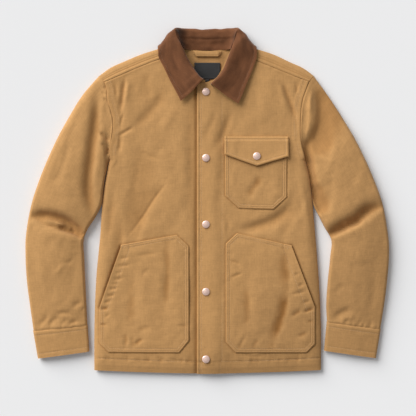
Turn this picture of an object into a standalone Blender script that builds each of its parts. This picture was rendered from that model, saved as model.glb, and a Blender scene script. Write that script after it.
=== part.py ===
"""A chore jacket laid out on its back, fronts up and snapped shut, its collar turned over.

+Z is up, +X runs to the wearer's left and +Y to the collar. The back rests on z = 0, and the
origin is under the middle of the garment. Sizes are in millimetres until a mesh is made.
"Right" and "left" are the wearer's, so the right half has negative X.
"""

from collections import namedtuple

import bpy
import numpy as np

MM = 0.001
SHARP_ANGLE = np.radians(40)

# Cloth
CANVAS = 1.6  # wall of one layer of the body cloth
DOUBLED = 2.4  # wall of two layers sewn together: cuff, collar, flap
TAPE = 1.0
SEAM = 0.3  # gap between two sewn pieces
PATCH_GAP = 0.8  # gap under a patch, which takes up the panel's facets

# Heights of the lay
EDGE_Z = 8.0  # side seams, sleeve folds and shoulder folds
FLOOR_ROLL = 9.0  # how far in from an edge the underside meets the floor
UNDERARM_ROLL = 18.0  # the same along the back armhole, from the underarm
BODY_ROLL = 24.0  # how far in from a side seam the front reaches its height
SEAM_Z = 16.7  # forward shoulder seam at the sleeve
NECK_SEAM_RISE = 1.3  # how much higher that seam is at the neck
SEAM_BLEND = 40.0  # how far below that seam the front takes its own height
ARMHOLE_Z = 18.5
HEM_Z = 10.5
HEM_RISE = 60.0  # how far above the hem the front takes its full height
HEM_BOW = 0.8  # how full the hem's curve is towards the side seams
FRONT_Z = 16.2
CROWN = 2.6  # how much higher the middle of the fronts is
CROWN_WIDTH = 560.0
CHEST_RISE = 1.2
CHEST_FROM_Y = -250.0
CHEST_RUN = 350.0
LAP = 2.4  # how far the left front's placket stands over the right front
LAP_X = 20.0  # where the placket starts to come down to the rest of the left front
LAP_RUN = 60.0
NECK_LIFT = 5.2  # how far the back neck is held off the floor by the collar's fall
NECK_LIFT_Y = 250.0
NECK_LIFT_RUN = 76.0
NECK_LIFT_X = 165.0
NECK_LIFT_SIDE = 55.0
POCKET_GAPE = 2.2  # how far a hand pocket's mouth stands open
GAPE_WIDTH = 22.0

# Outline of the body
HEM_MIDDLE_Y = -398.0
PLACKET_X = -24.0  # the left front's edge
UNDERLAP_X = 24.0  # the right front's edge, hidden under the placket
NECK_Y = 272.0  # the neckline at the placket

ARMHOLE_LENGTH = 185.0
BACK_ARMHOLE_LENGTH = 200.0
SLEEVE_BLEND = 0.42  # of the sleeve's length, over which it takes its own section

# Numbers of sections and points
TOP_STEPS = 14  # over a sleeve, from its outer fold to its inner one
BASE_STEPS = 10  # under a sleeve
WRAP_STEPS = 2  # of TOP_STEPS, from the shoulder fold to the forward seam
LOW_ROWS = 17  # from the hem to the underarm
FRONT_COLUMNS = 13
SHOULDER_COLUMNS = 6
NECK_COLUMNS = 6
SLEEVE_ROWS = 23
COLLAR_ROWS = 17  # on each side of the middle
EDGE_POINTS = 120  # along a border line that heights are read from
NECK_ROW = 6  # of the front's upper rows, the one at the neck corner

Fold = namedtuple("Fold", "x0 y0 x1 y1 bend width depth")
Sleeve = namedtuple("Sleeve", "along out_x out_y in_x in_y height")
Collar = namedtuple("Collar", "along nx ny nz rx ry rz ex ey ez bend puff tilt")
Patch = namedtuple("Patch", "out_x out_y in_x in_y")

SIDE_SEAM = {
    "right": [(-260, -388), (-260.5, -300), (-256, -177), (-247, -80), (-241, 5), (-234, 55),
              (-226, 94)],
    "left": [(260, -386), (259, -288), (252, -150), (246, -60), (240, 20), (233.5, 65),
             (226, 94)],
}
ARMHOLE = {
    "right": [(-237, 275), (-231, 254), (-230, 237), (-222, 209), (-217, 186), (-218, 163), (-221, 142),
              (-225, 113), (-226, 94)],
    "left": [(234, 276), (227, 257), (218, 229), (215, 199), (214, 170), (215, 143), (218, 123),
             (223, 106), (226, 94)],
}
BACK_ARMHOLE = {
    "right": [(-250, 288), (-236, 258), (-229, 220), (-224, 180), (-223, 135), (-226, 94)],
    "left": [(245, 289), (232, 258), (224, 220), (220, 180), (220, 135), (226, 94)],
}
SHOULDER_FOLD = {
    "right": [(-250, 288), (-222, 308), (-193, 321), (-155, 337), (-112, 350.5), (-58, 366)],
    "left": [(245, 289), (220, 307), (191, 320), (155, 337), (112, 350.5), (58, 366)],
}
FORWARD_SEAM = {
    "right": [(-237, 275), (-201, 291), (-132, 320), (-110, 328), (-54, 349)],
    "left": [(234, 276), (201, 289), (132, 317), (112, 325), (54, 349)],
}
FRONT_NECK = {
    "right": [(UNDERLAP_X, NECK_Y - 3), (0, NECK_Y + 1), (-18, 284), (-38, 314), (-54, 349)],
    "left": [(PLACKET_X, NECK_Y + 1), (-2, NECK_Y + 4), (18, 283), (38, 314), (54, 349)],
}
BACK_NECK = [(-58, 364), (-49, 356), (-28, 349.5), (0, 347), (28, 349.5), (49, 356), (58, 364)]

SLEEVES = {
    "right": [
        Sleeve(0.00, -250, 288, -226, 94, 19),
        Sleeve(0.12, -287, 245, -232.5, 75, 26),
        Sleeve(0.25, -320, 192, -238.5, 48, 28),
        Sleeve(0.38, -353, 130, -244, 18, 28),
        Sleeve(0.48, -384, 58, -250, -13, 27),
        Sleeve(0.54, -402, 6, -261, -40, 27),
        Sleeve(0.60, -413, -42, -276.5, -66, 26),
        Sleeve(0.64, -417.5, -72, -283.5, -83, 26),
        Sleeve(0.74, -419.3, -125, -283.5, -135, 25),
        Sleeve(0.84, -416, -185, -281, -190, 23),
        Sleeve(0.93, -409, -240, -278.5, -243, 21),
        Sleeve(1.00, -400.4, -301, -276.5, -287, 16.5),
    ],
    "left": [
        Sleeve(0.00, 245, 289, 226, 94, 19),
        Sleeve(0.12, 282, 237, 232.5, 75, 26),
        Sleeve(0.25, 312, 191, 237.5, 48, 28),
        Sleeve(0.38, 348, 129, 242.5, 18, 28),
        Sleeve(0.48, 381, 57.5, 247.5, -13, 27),
        Sleeve(0.54, 401, 4.6, 259, -39, 27),
        Sleeve(0.60, 411, -39, 272, -64, 26),
        Sleeve(0.64, 416, -71, 283.5, -83, 26),
        Sleeve(0.74, 419.3, -124, 283, -131, 25),
        Sleeve(0.84, 414.7, -184, 277.5, -186, 23),
        Sleeve(0.93, 407.8, -239, 274, -241, 21),
        Sleeve(1.00, 398.5, -297, 276, -280, 16.5),
    ],
}
CUFFS = {
    "right": [(-400.4, -301), (-276.5, -287), (-389.6, -363), (-273, -347)],
    "left": [(398.5, -297), (276, -280), (388, -362), (270, -345)],
}
CUFF_HEIGHTS = (17.5, 15.5)
CUFF_PROUD = 1.0

COLLAR = {
    "right": [
        Collar(0.00, 0, 347.4, 7.2, 0, 393.5, 5.5, 0, 333, 0, 5.5, 5.5, 90),
        Collar(0.14, -28, 349.9, 7.2, -32, 394.5, 5.6, -37, 332, 0, 5.5, 5.5, 90),
        Collar(0.26, -48.4, 358, 9, -58, 397, 6.5, -76, 331, 0, 6, 6, 86),
        Collar(0.34, -53, 362.5, 13, -71, 396.8, 11, -98, 336, 0, 7, 6, 62),
        Collar(0.39, -53.3, 363.5, 16, -74, 393, 15, -109, 348, 0.5, 7, 4.5, 35),
        Collar(0.43, -53.3, 364, 19, -74, 390, 19, -113, 356, 5, 7, 3, 10),
        Collar(0.47, -53.3, 363.5, 21, -73, 386, 22.5, -114.5, 357.5, 13, 7, 2, -10),
        Collar(0.52, -53.5, 360, 21.5, -70, 378, 25.5, -114.5, 353, 21, 6, 1, -40),
        Collar(0.58, -53.5, 354, 21.5, -64, 366, 27, -113, 342.5, 24, 5, 0, -65),
        Collar(0.66, -54, 346, 21.5, -57, 352, 27.5, -111.6, 330, 23, 5, 0, -80),
        Collar(0.77, -45.5, 328, 21.5, -46, 329, 27.5, -99, 305, 22, 5, 0, -90),
        Collar(0.89, -29.5, 300.5, 21.5, -29, 301, 27.5, -81, 268, 22, 5, 0, -90),
        Collar(0.96, -15.5, 283, 21.5, -15, 283, 27.5, -66, 240, 22, 4.5, 0, -90),
        Collar(1.00, -8.5, 278.5, 21.5, -8.5, 279, 27, -61, 229, 22, 4, 0, -90),
    ],
    "left": [
        Collar(0.00, 0, 347.4, 7.2, 0, 393.5, 5.5, 0, 333, 0, 5.5, 5.5, 90),
        Collar(0.14, 28, 349.9, 7.2, 32, 394.5, 5.6, 37, 332, 0, 5.5, 5.5, 90),
        Collar(0.26, 48.4, 358, 9, 57, 397.5, 6.5, 76, 331, 0, 6, 6, 86),
        Collar(0.34, 53, 362.5, 13, 69, 397.5, 11, 97, 336, 0, 7, 6, 62),
        Collar(0.39, 53.3, 363.5, 16, 71.5, 393.5, 15, 108.5, 348, 0.5, 7, 4.5, 35),
        Collar(0.43, 53.3, 364, 19, 71, 390, 19, 112.5, 355, 5, 7, 3, 10),
        Collar(0.47, 53.3, 363.5, 21, 69.5, 385, 22.5, 114, 356, 13, 7, 2, -10),
        Collar(0.52, 53.5, 360, 21.5, 66, 376, 25.5, 114, 351, 21, 6, 1, -40),
        Collar(0.58, 53.5, 353, 21.5, 60, 363, 27, 113.5, 341, 24, 5, 0, -65),
        Collar(0.66, 53.5, 345, 21.5, 54, 346, 27.5, 112.5, 328, 23, 5, 0, -80),
        Collar(0.77, 45.5, 325, 21.5, 46, 325, 27.5, 104, 302, 22, 5, 0, -90),
        Collar(0.89, 32.5, 295.5, 21.5, 32.5, 295, 27.5, 90, 268, 22, 5, 0, -90),
        Collar(0.96, 19, 280, 21.5, 19, 280, 27.5, 78, 239, 22, 4.5, 0, -90),
        Collar(1.00, 11, 275, 21.5, 11, 275, 27, 72, 224, 22, 4, 0, -90),
    ],
}
COLLAR_TIP_BOW = 6.0  # how far the collar's front edges curve out

# Folds: a straight or bent trough (negative depth) or ridge between two points
BODY_FOLDS = [
    Fold(-195, 290, -206, 202, 0, 12, -4.0),
    Fold(-204, 154, -88, 253, 10, 18, -2.2),
    Fold(-203, 140, -106, 104, -6, 18, -2.0),
    Fold(-98, 37, -169, -66, 0, 12, -1.6),
    Fold(181, 265, 204, 164, 4, 14, -3.2),
    Fold(205, 150, 120, 190, -6, 18, -1.8),
    Fold(52, 206, 14, 136, 0, 16, -1.8),
    Fold(205, 60, 230, -60, 8, 18, -2.0),
    Fold(-215, 40, -228, -90, -8, 18, -2.0),
    Fold(-120, -20, -60, 120, 8, 24, 1.2),
    Fold(133, -51, 61, -64, 0, 14, -1.2),
]
SLEEVE_FOLDS = {
    "right": [
        Fold(-254, 248, -272, 117, -8, 15, -7.0),
        Fold(-272, 117, -286, -32, 4, 15, -7.5),
        Fold(-405, -32, -318, -28, 9, 12, -5.0),
        Fold(-318, -28, -330, -66, 0, 10, -3.0),
        Fold(-408, -48, -300, -88, 4, 13, 3.5),
        Fold(-390, -100, -300, -122, -8, 14, -2.5),
        Fold(-330, 100, -352, 20, -6, 20, -2.0),
        Fold(-300, 215, -318, 120, -8, 22, 2.0),
        Fold(-235, 150, -262, 90, 0, 12, -3.5),
        Fold(-365, -265, -300, -268, 6, 12, -2.0),
        Fold(-400, -170, -380, -260, 0, 16, -2.0),
    ],
    "left": [
        Fold(260, 253, 254, 168, -6, 14, -6.5),
        Fold(254, 168, 236, 118, 4, 13, -5.5),
        Fold(262, 150, 276, 10, 8, 18, -4.0),
        Fold(404, -8, 293, -72, -8, 12, -5.5),
        Fold(404, -30, 300, -90, -4, 13, 3.0),
        Fold(385, -95, 300, -112, 6, 14, -2.5),
        Fold(330, 110, 352, 20, 6, 20, -2.0),
        Fold(296, 215, 316, 120, 8, 22, 2.0),
        Fold(365, -262, 300, -262, -6, 12, -2.0),
        Fold(400, -160, 384, -250, 0, 16, -2.0),
    ],
}

HAND_POCKETS = {
    "right": [
        Patch(-227.7, -348.2, -64.4, -348.9),
        Patch(-248.5, -327.5, -42, -321.3),
        Patch(-248.2, -245, -42, -227.7),
        Patch(-199, -105.8, -42, -103.5),
        Patch(-199, -100.7, -69.7, -77.1),
    ],
    "left": [
        Patch(228.2, -348.9, 64.9, -348.9),
        Patch(248.2, -328.9, 42, -324.3),
        Patch(248.2, -245.9, 42, -227.7),
        Patch(194.4, -105.5, 42, -98),
        Patch(194.4, -102, 68.1, -73.4),
    ],
}
CHEST_POCKET = [
    Patch(152.3, -19.3, 72, -17),
    Patch(183, 8.1, 40.7, 11.7),
    Patch(183, 138, 40.7, 138),
]
CHEST_FLAP = [
    (39.6, 107.2), (77, 93.5), (114.3, 80.5), (150, 91.5), (186.5, 102.1),
]
FLAP_TOP_Y = 151.8
LOOP = {"half": 32.0, "width": 12.0, "y": 333.5, "rise": 7.0}
LABEL = {"half": 29.8, "low": 281.5, "high": 319.0}
SIZE_TAB = {"half": 5.0, "low": 275.5, "high": 280.8}
SNAP_X = -3.0
SNAP_YS = (250.7, 98.9, -53.6, -208.4, -363.4)
FLAP_SNAP = (113.6, 102.8)
SNAP_PROFILE = [(0, 2.2), (5.6, 2.0), (6.4, 2.9), (7.8, 2.9), (9.0, 1.6), (9.0, 0.0)]
SNAP_SIDES = 16

TAN = (0.47, 0.26, 0.10)
BROWN = (0.14, 0.06, 0.03)
BLACK = (0.02, 0.02, 0.022)
PEARL = (0.75, 0.58, 0.50)


# Lines and levels


def curve(points, at):
    """Places at the fractions `at` of the length of a smooth line through the points."""
    points = np.array(points, float)
    steps = np.linalg.norm(np.diff(points, axis=0), axis=1)
    return by_level(np.concatenate([[0], np.cumsum(steps)]) / steps.sum(), points, at)


def by_level(levels, values, at):
    """The values at other levels, from a smooth line through a table's rows."""
    levels, values, at = np.array(levels, float), np.array(values, float), np.array(at, float)
    slopes = np.gradient(values, levels, axis=0)
    i = np.clip(np.searchsorted(levels, at, side="right") - 1, 0, len(levels) - 2)
    width = (levels[i + 1] - levels[i])[:, None]
    s = (at[:, None] - levels[i][:, None]) / width
    start, end = values[i], values[i + 1]
    out, back = slopes[i] * width, slopes[i + 1] * width
    return (
        start * (2 * s**3 - 3 * s**2 + 1)
        + out * (s**3 - 2 * s**2 + s)
        + end * (3 * s**2 - 2 * s**3)
        + back * (s**3 - s**2)
    )


def eased(count):
    """Levels from 0 to 1, close together at both ends."""
    return (1 - np.cos(np.pi * np.arange(count + 1) / count)) / 2


def round_over(reach):
    """A quarter circle's height: 0 at 0 and 1 from 1 on."""
    return np.sqrt(np.clip(1 - (1 - np.clip(reach, 0, 1)) ** 2, 0, 1))


def soft(reach):
    """A smooth step from 0 to 1."""
    reach = np.clip(reach, 0, 1)
    return reach * reach * (3 - 2 * reach)


def mixed(start, end, share):
    return start + (end - start) * share


def folds(table, x, y):
    """The height that a table's folds add at each place."""
    height = np.zeros_like(x)
    for fold in table:
        run = np.array([fold.x1 - fold.x0, fold.y1 - fold.y0], float)
        length = np.hypot(*run)
        run /= length
        along = ((x - fold.x0) * run[0] + (y - fold.y0) * run[1]) / length
        inside = np.clip(along, 0, 1)
        aside = (y - fold.y0) * run[0] - (x - fold.x0) * run[1] - fold.bend * 4 * inside * (1 - inside)
        beyond = (along - inside) * length
        near = np.exp(-(aside**2 + beyond**2) / fold.width**2)
        height += fold.depth * near * (0.35 + 0.65 * np.sin(np.pi * inside))
    return height


def filled(bottom, top, start, end, across, up):
    """A grid of places inside four border lines that meet at their corners."""
    across, up = across[None, :, None], up[:, None, None]
    corners = (
        (1 - across) * (1 - up) * bottom[0]
        + across * (1 - up) * bottom[-1]
        + (1 - across) * up * top[0]
        + across * up * top[-1]
    )
    return (
        mixed(start[:, None], end[:, None], across) + mixed(bottom[None], top[None], up) - corners
    )


# Meshes


def material(name, colour, roughness, metallic=0.0):
    made = bpy.data.materials.new(name)
    made.use_nodes = True
    shader = made.node_tree.nodes["Principled BSDF"]
    shader.inputs["Base Color"].default_value = (*colour, 1)
    shader.inputs["Roughness"].default_value = roughness
    shader.inputs["Metallic"].default_value = metallic
    return made


def add_object(name, points, faces, finish):
    mesh = bpy.data.meshes.new(name)
    mesh.from_pydata([tuple(p) for p in np.asarray(points) * MM], [], faces)
    mesh.materials.append(finish)
    mesh.shade_smooth()
    mesh.set_sharp_from_angle(angle=SHARP_ANGLE)
    made = bpy.data.objects.new(name, mesh)
    bpy.context.scene.collection.objects.link(made)
    return made


def wall(name, outer, thick, finish, flip=False, ring=False, kept=None, upright=None, plumb=None):
    """A wall with the grid `outer` as its outer side, closed by a rim at its borders.

    `ring` joins the last column to the first and `kept` says which cells are there. The wall's
    thickness is level at the points in `upright`, and vertical at those in `plumb`.
    """
    rows, columns = outer.shape[:2]
    wide = columns if ring else columns - 1
    outer = outer.reshape(-1, 3)
    quads = []
    for i in range(rows - 1):
        for j in range(wide):
            if kept is None or kept[i, j]:
                a, b = i * columns + j, i * columns + (j + 1) % columns
                quad = (a, b, b + columns, a + columns)
                quads.append(quad[::-1] if flip else quad)
    quads = np.array(quads)
    corners = outer[quads]
    facing = np.cross(corners[:, 2] - corners[:, 0], corners[:, 3] - corners[:, 1])
    normals = np.zeros_like(outer)
    for k in range(4):
        np.add.at(normals, quads[:, k], facing)
    if upright is not None:
        normals[upright.ravel(), 2] = 0
    if plumb is not None:
        normals[plumb.ravel(), :2] = 0
    normals /= np.maximum(np.linalg.norm(normals, axis=1), 1e-9)[:, None]
    inner = outer - normals * thick

    edges = {(int(q[k]), int(q[(k + 1) % 4])) for q in quads for k in range(4)}
    rim = [(a, b) for a, b in edges if (b, a) not in edges]
    used = np.unique(quads)
    place = np.full(len(outer), -1)
    place[used] = np.arange(len(used))
    count = len(used)
    halves = np.concatenate([quads[:, [0, 1, 2]], quads[:, [0, 2, 3]]])
    faces = [tuple(int(place[c]) for c in half) for half in halves]
    faces += [tuple(int(place[c]) + count for c in half[::-1]) for half in halves]
    faces += [
        (int(place[b]), int(place[a]), int(place[a]) + count, int(place[b]) + count)
        for a, b in sorted(rim)
    ]
    return add_object(name, np.concatenate([outer[used], inner[used]]), faces, finish)


# Body


def mirror(side):
    return -1 if side == "right" else 1


def wrap_rise(share):
    """How much of its height the cloth has on its way from the shoulder fold to the seam."""
    return round_over(0.75 * share) / round_over(0.75)


def armhole_levels(side, levels):
    """The armhole on the front, from the shoulder fold (0) over the seam to the underarm (1)."""
    wrap = eased(TOP_STEPS)[WRAP_STEPS]
    fold = np.array(SHOULDER_FOLD[side][0], float)
    seam = np.array(ARMHOLE[side][0], float)
    over = mixed(fold, seam, (levels / wrap)[:, None])
    below = curve(ARMHOLE[side], np.clip((levels - wrap) / (1 - wrap), 0, 1))
    places = np.where((levels < wrap)[:, None], over, below)
    top = mixed(SEAM_Z, ARMHOLE_Z, soft((levels - wrap) * ARMHOLE_LENGTH / SEAM_BLEND))
    rise = np.minimum(wrap_rise(levels / wrap), 1)
    rise = np.minimum(rise, round_over((1 - levels) * ARMHOLE_LENGTH / BODY_ROLL))
    return np.column_stack([places, EDGE_Z + (top - EDGE_Z) * rise])


def back_armhole_levels(side, levels):
    """The armhole on the back, from the shoulder fold (0) along the floor to the underarm (1)."""
    places = curve(BACK_ARMHOLE[side], levels)
    near = BACK_ARMHOLE_LENGTH * np.minimum(levels / FLOOR_ROLL, (1 - levels) / UNDERARM_ROLL)
    return np.column_stack([places, EDGE_Z * (1 - round_over(near))])


def body_edge(side):
    """The front's outer edge from the hem up to the forward seam, as close points."""
    seam = curve(SIDE_SEAM[side], np.linspace(0, 1, EDGE_POINTS))
    wrap = eased(TOP_STEPS)[WRAP_STEPS]
    arm = armhole_levels(side, np.linspace(1, wrap, EDGE_POINTS))
    seam = np.column_stack([seam, np.full(len(seam), EDGE_Z)])
    return np.concatenate([seam, arm[1:]])


def front_top(x, y, side):
    """Height of a front's outer face."""
    share = np.linspace(0, 1, EDGE_POINTS)
    edge, seam = body_edge(side), curve(FORWARD_SEAM[side], share)
    inward = -mirror(side)
    seam_y = np.interp(inward * x, inward * seam[:, 0], seam[:, 1])
    seam_z = SEAM_Z + NECK_SEAM_RISE * np.interp(inward * x, inward * seam[:, 0], share)
    height = FRONT_Z + CROWN * np.cos(np.pi * x / CROWN_WIDTH)
    height += CHEST_RISE * soft((y - CHEST_FROM_Y) / CHEST_RUN) + folds(BODY_FOLDS, x, y)
    above_hem = np.sin(np.pi / 2 * np.clip((y - HEM_MIDDLE_Y) / HEM_RISE, 0, 1))
    height = mixed(HEM_Z, height, above_hem)
    if side == "left":
        height = height + LAP * (1 - soft((x - LAP_X) / LAP_RUN))
    height = mixed(seam_z, height, soft((seam_y - y) / SEAM_BLEND))
    edge_x, edge_z = np.interp(y, edge[:, 1], edge[:, 0]), np.interp(y, edge[:, 1], edge[:, 2])
    return edge_z + (height - edge_z) * round_over(np.abs(x - edge_x) / BODY_ROLL)


def body_top(x, y):
    """Height of whichever front is on top."""
    return np.where(x < PLACKET_X, front_top(x, y, "right"), front_top(x, y, "left"))


def front(name, side, edge_x, finish):
    upper = eased(TOP_STEPS)[WRAP_STEPS:][::-1]
    low = curve(SIDE_SEAM[side], np.linspace(0, 1, LOW_ROWS + 1))
    low = np.column_stack([low, np.full(len(low), EDGE_Z)])
    outer = np.concatenate([low, armhole_levels(side, upper)[1:]])
    steps = np.linalg.norm(np.diff(outer[:, :2], axis=0), axis=1)
    up = np.concatenate([[0], np.cumsum(steps)]) / steps.sum()
    neck = LOW_ROWS + NECK_ROW
    centre = np.column_stack([
        np.full(neck + 1, edge_x),
        mixed(HEM_MIDDLE_Y, FRONT_NECK[side][0][1], up[: neck + 1] / up[neck]),
    ])
    line = curve(FRONT_NECK[side], (up[neck:] - up[neck]) / (1 - up[neck]))
    inner = np.concatenate([centre, line[1:]])
    roll = np.array([0, 0.012, 0.046, 0.1])
    across = np.concatenate([roll, np.linspace(roll[-1], 1, FRONT_COLUMNS - 2)[1:]])
    hem = mixed(outer[0, :2], inner[0], across[:, None])
    hem[:, 1] += (HEM_MIDDLE_Y - outer[0, 1]) * (np.sin(np.pi / 2 * across) - across) * HEM_BOW
    top = curve(FORWARD_SEAM[side], across)
    grid = filled(hem, top, outer[:, :2], inner, across, up)
    x, y = grid[..., 0], grid[..., 1]
    height = front_top(x, y, side)
    height[:, 0] = outer[:, 2] + SEAM / 2 * (np.arange(len(outer)) <= LOW_ROWS)
    grid = np.dstack([x, y, height])
    upright = np.zeros(x.shape, bool)
    upright[: LOW_ROWS + 1, 0] = True
    plumb = np.zeros(x.shape, bool)
    plumb[LOW_ROWS + 4:, 0] = plumb[-1] = True
    return wall(name, grid, CANVAS, finish, flip=side == "left", upright=upright, plumb=plumb)


def neck_lift(x, y):
    """How far the back is off the floor."""
    up = soft((y - NECK_LIFT_Y) / NECK_LIFT_RUN)
    return NECK_LIFT * up * soft((NECK_LIFT_X - np.abs(x)) / NECK_LIFT_SIDE)


def back(name, finish):
    """The back lies on the floor, turns up at the side seams and comes forward over the shoulders."""
    levels = eased(BASE_STEPS)[1:][::-1]
    borders = {}
    for side in ("right", "left"):
        low = curve(SIDE_SEAM[side], np.linspace(0, 1, LOW_ROWS + 1))
        low = np.column_stack([low, np.full(len(low), EDGE_Z - SEAM / 2)])
        borders[side] = np.concatenate([low, back_armhole_levels(side, levels)[1:]])
    start, end = borders["right"], borders["left"]
    steps = np.linalg.norm(np.diff(start[:, :2], axis=0), axis=1)
    up = np.concatenate([[0], np.cumsum(steps)]) / steps.sum()

    roll = np.array([0, 0.006, 0.018])
    shoulder = np.concatenate([roll, np.linspace(roll[-1], 0.385, SHOULDER_COLUMNS)[1:]])
    neck = np.linspace(0.385, 0.615, NECK_COLUMNS + 1)
    across = np.concatenate([shoulder, neck[1:], 1 - shoulder[::-1][1:]])
    ends = len(shoulder)
    share = shoulder / shoulder[-1]
    fold = {s: curve(SHOULDER_FOLD[s], share) for s in ("right", "left")}
    seam = {s: curve(FORWARD_SEAM[s], share) for s in ("right", "left")}
    inward = {s: (seam[s] - fold[s]) / np.linalg.norm(seam[s] - fold[s], axis=1)[:, None] for s in fold}
    low_line = {s: fold[s] + inward[s] * FLOOR_ROLL * 0.6 for s in fold}
    top = np.concatenate([low_line["right"], curve(BACK_NECK, np.linspace(0, 1, NECK_COLUMNS + 1))[1:-1],
                          low_line["left"][::-1]])
    top[0], top[-1] = start[-1, :2], end[-1, :2]
    top[ends - 1], top[-ends] = low_line["right"][-1], low_line["left"][-1]
    hem = mixed(start[0, :2], end[0, :2], across[:, None])
    hem[:, 1] += (HEM_MIDDLE_Y - hem[:, 1]) * np.sin(np.pi * across) ** 0.7
    grid = filled(hem, top, start[:, :2], end[:, :2], across, up)
    x, y = grid[..., 0], grid[..., 1]
    aside = np.minimum(np.abs(x - start[:, :1]), np.abs(end[:, :1] - x))
    edge = np.where(np.abs(x - start[:, :1]) < np.abs(end[:, :1] - x), start[:, 2:], end[:, 2:])
    height = neck_lift(x, y)
    height = np.maximum(height, edge * (1 - round_over(aside / FLOOR_ROLL)))
    low_rows = np.dstack([x, y, height])

    wrap = eased(TOP_STEPS)[: WRAP_STEPS + 1]
    share_in = wrap / wrap[-1]
    rise = wrap_rise(share_in)
    over = np.zeros((WRAP_STEPS + 1, len(across), 3))
    for s, columns in (("right", slice(0, ends)), ("left", slice(len(across) - ends, len(across)))):
        order = slice(None) if s == "right" else slice(None, None, -1)
        seam_z = (SEAM_Z + NECK_SEAM_RISE * share)[order]
        lift = neck_lift(fold[s][:, 0], fold[s][:, 1])[order] * 0.5
        for k in range(WRAP_STEPS + 1):
            places = mixed(fold[s], seam[s], share_in[k])[order]
            z = EDGE_Z + lift * (1 - share_in[k]) + (seam_z - EDGE_Z) * rise[k]
            over[k, columns] = np.column_stack([places, z])
        last = over[-1, columns]
        gap = np.column_stack([-inward[s][order], np.zeros(ends)]) * SEAM
        over[-1, columns] = last + gap
    grid = np.concatenate([low_rows, over])
    kept = np.ones((len(grid) - 1, len(across) - 1), bool)
    kept[len(low_rows) - 1:, ends - 1: len(across) - ends] = False
    upright = np.zeros(grid.shape[:2], bool)
    upright[: LOW_ROWS + 1, [0, -1]] = True
    plumb = np.zeros(grid.shape[:2], bool)
    plumb[-1] = True
    return wall(name, grid, CANVAS, finish, flip=True, kept=kept, upright=upright, plumb=plumb)


# Sleeves and cuffs


def ring(side, out, into, height, edge_z, fade):
    """One section of a sleeve: over the top from its outer fold to its inner one, and back under."""
    over, under = eased(TOP_STEPS), eased(BASE_STEPS)[1:-1][::-1]
    out, into = np.array(out, float), np.array(into, float)
    arm, back_arm = armhole_levels(side, over), back_armhole_levels(side, under)
    first, last = arm[0, :2], arm[-1, :2]
    top = mixed(out, into, over[:, None]) + (arm[:, :2] - mixed(first, last, over[:, None])) * fade
    base = mixed(out, into, under[:, None]) + (back_arm[:, :2] - mixed(first, last, under[:, None])) * fade
    width = np.hypot(*(into - out))
    dome = np.sqrt(1 - np.abs(2 * over - 1) ** 3)
    top_z = edge_z + (height - edge_z) * dome + folds(SLEEVE_FOLDS[side], top[:, 0], top[:, 1]) * dome
    near = np.minimum(under, 1 - under) * width
    base_z = edge_z * (1 - round_over(near / FLOOR_ROLL))
    joined = soft((fade - 0.72) / 0.28)
    top_z = mixed(top_z, arm[:, 2], joined)
    base_z = mixed(base_z, back_arm[:, 2], joined)
    return np.concatenate([np.column_stack([top, top_z]), np.column_stack([base, base_z])])


def sleeve(name, side, finish):
    table = np.array(SLEEVES[side])
    along = np.linspace(0, 1, SLEEVE_ROWS) ** 1.15
    sections = by_level(table[:, 0], table[:, 1:], along)
    fade = 1 - soft(along / SLEEVE_BLEND)
    rings = []
    for row, kept in zip(sections, fade):
        rings.append(ring(side, row[:2], row[2:4], row[4], EDGE_Z, kept))
    grid = np.array(rings)
    over_fold = np.exp(-np.linalg.norm(grid[0, :, :2] - grid[0, 0, :2], axis=1) / 12)
    grid[0, :, 0] += mirror(side) * (SEAM + 0.05 + 0.3 * over_fold)
    grid[0, :, 1] -= 0.5 * over_fold
    plumb = np.zeros(grid.shape[:2], bool)
    plumb[0, WRAP_STEPS: TOP_STEPS - 3] = True
    return wall(name, grid, CANVAS, finish, flip=side == "right", ring=True, plumb=plumb)


def cuff(name, side, finish):
    upper_out, upper_in, lower_out, lower_in = (np.array(p, float) for p in CUFFS[side])
    down = (lower_out - upper_out) / np.linalg.norm(lower_out - upper_out)
    wide = (upper_out - upper_in) / np.linalg.norm(upper_out - upper_in) * CUFF_PROUD
    rings = []
    for share in (0, 0.5, 1):
        out = mixed(upper_out, lower_out, share) + down * SEAM * (1 - share) + wide
        into = mixed(upper_in, lower_in, share) + down * SEAM * (1 - share) - wide
        height = mixed(*CUFF_HEIGHTS, share)
        rings.append(ring(side, out, into, height, EDGE_Z, 0))
    return wall(name, np.array(rings), DOUBLED, finish, flip=side == "right", ring=True)


# Collar


def collar_section(row, bow):
    """Places along one section: up the stand, round the roll and down the fall."""
    neck, roll, edge = (np.array(row[k: k + 3]) for k in (1, 4, 7))
    bend, puff, tilt = row[10], row[11], np.radians(row[12])
    stand = (neck - roll) / max(np.linalg.norm(neck - roll), 1e-6)
    fall = (edge - roll) / np.linalg.norm(edge - roll)
    inward = np.array([-np.sign(row[4]) if abs(row[4]) > 1 else 0, 0, 0])
    apart = np.cos(tilt) * inward + np.sin(tilt) * np.array([0, 0, 1.0])
    reach = min(bend, 0.7 * np.linalg.norm(neck - roll))
    stand_top = roll + stand * reach + apart * puff
    fall_top = roll + fall * bend - apart * bend
    middle = mixed(fall_top, edge, 0.5)
    middle[2] = mixed(middle[2], edge[2], 0.75 * soft((0.5 - row[0]) / 0.08))
    middle[:2] += bow
    points = [neck, mixed(neck, stand_top, 0.5), stand_top, roll, fall_top, middle, edge]
    levels = [0, 0.15, 0.3, 0.4, 0.5, 0.75, 1]
    return by_level(levels, points, np.array([0, 0.15, 0.25, 0.32, 0.4, 0.48, 0.57, 0.7, 0.85, 1]))


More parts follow.
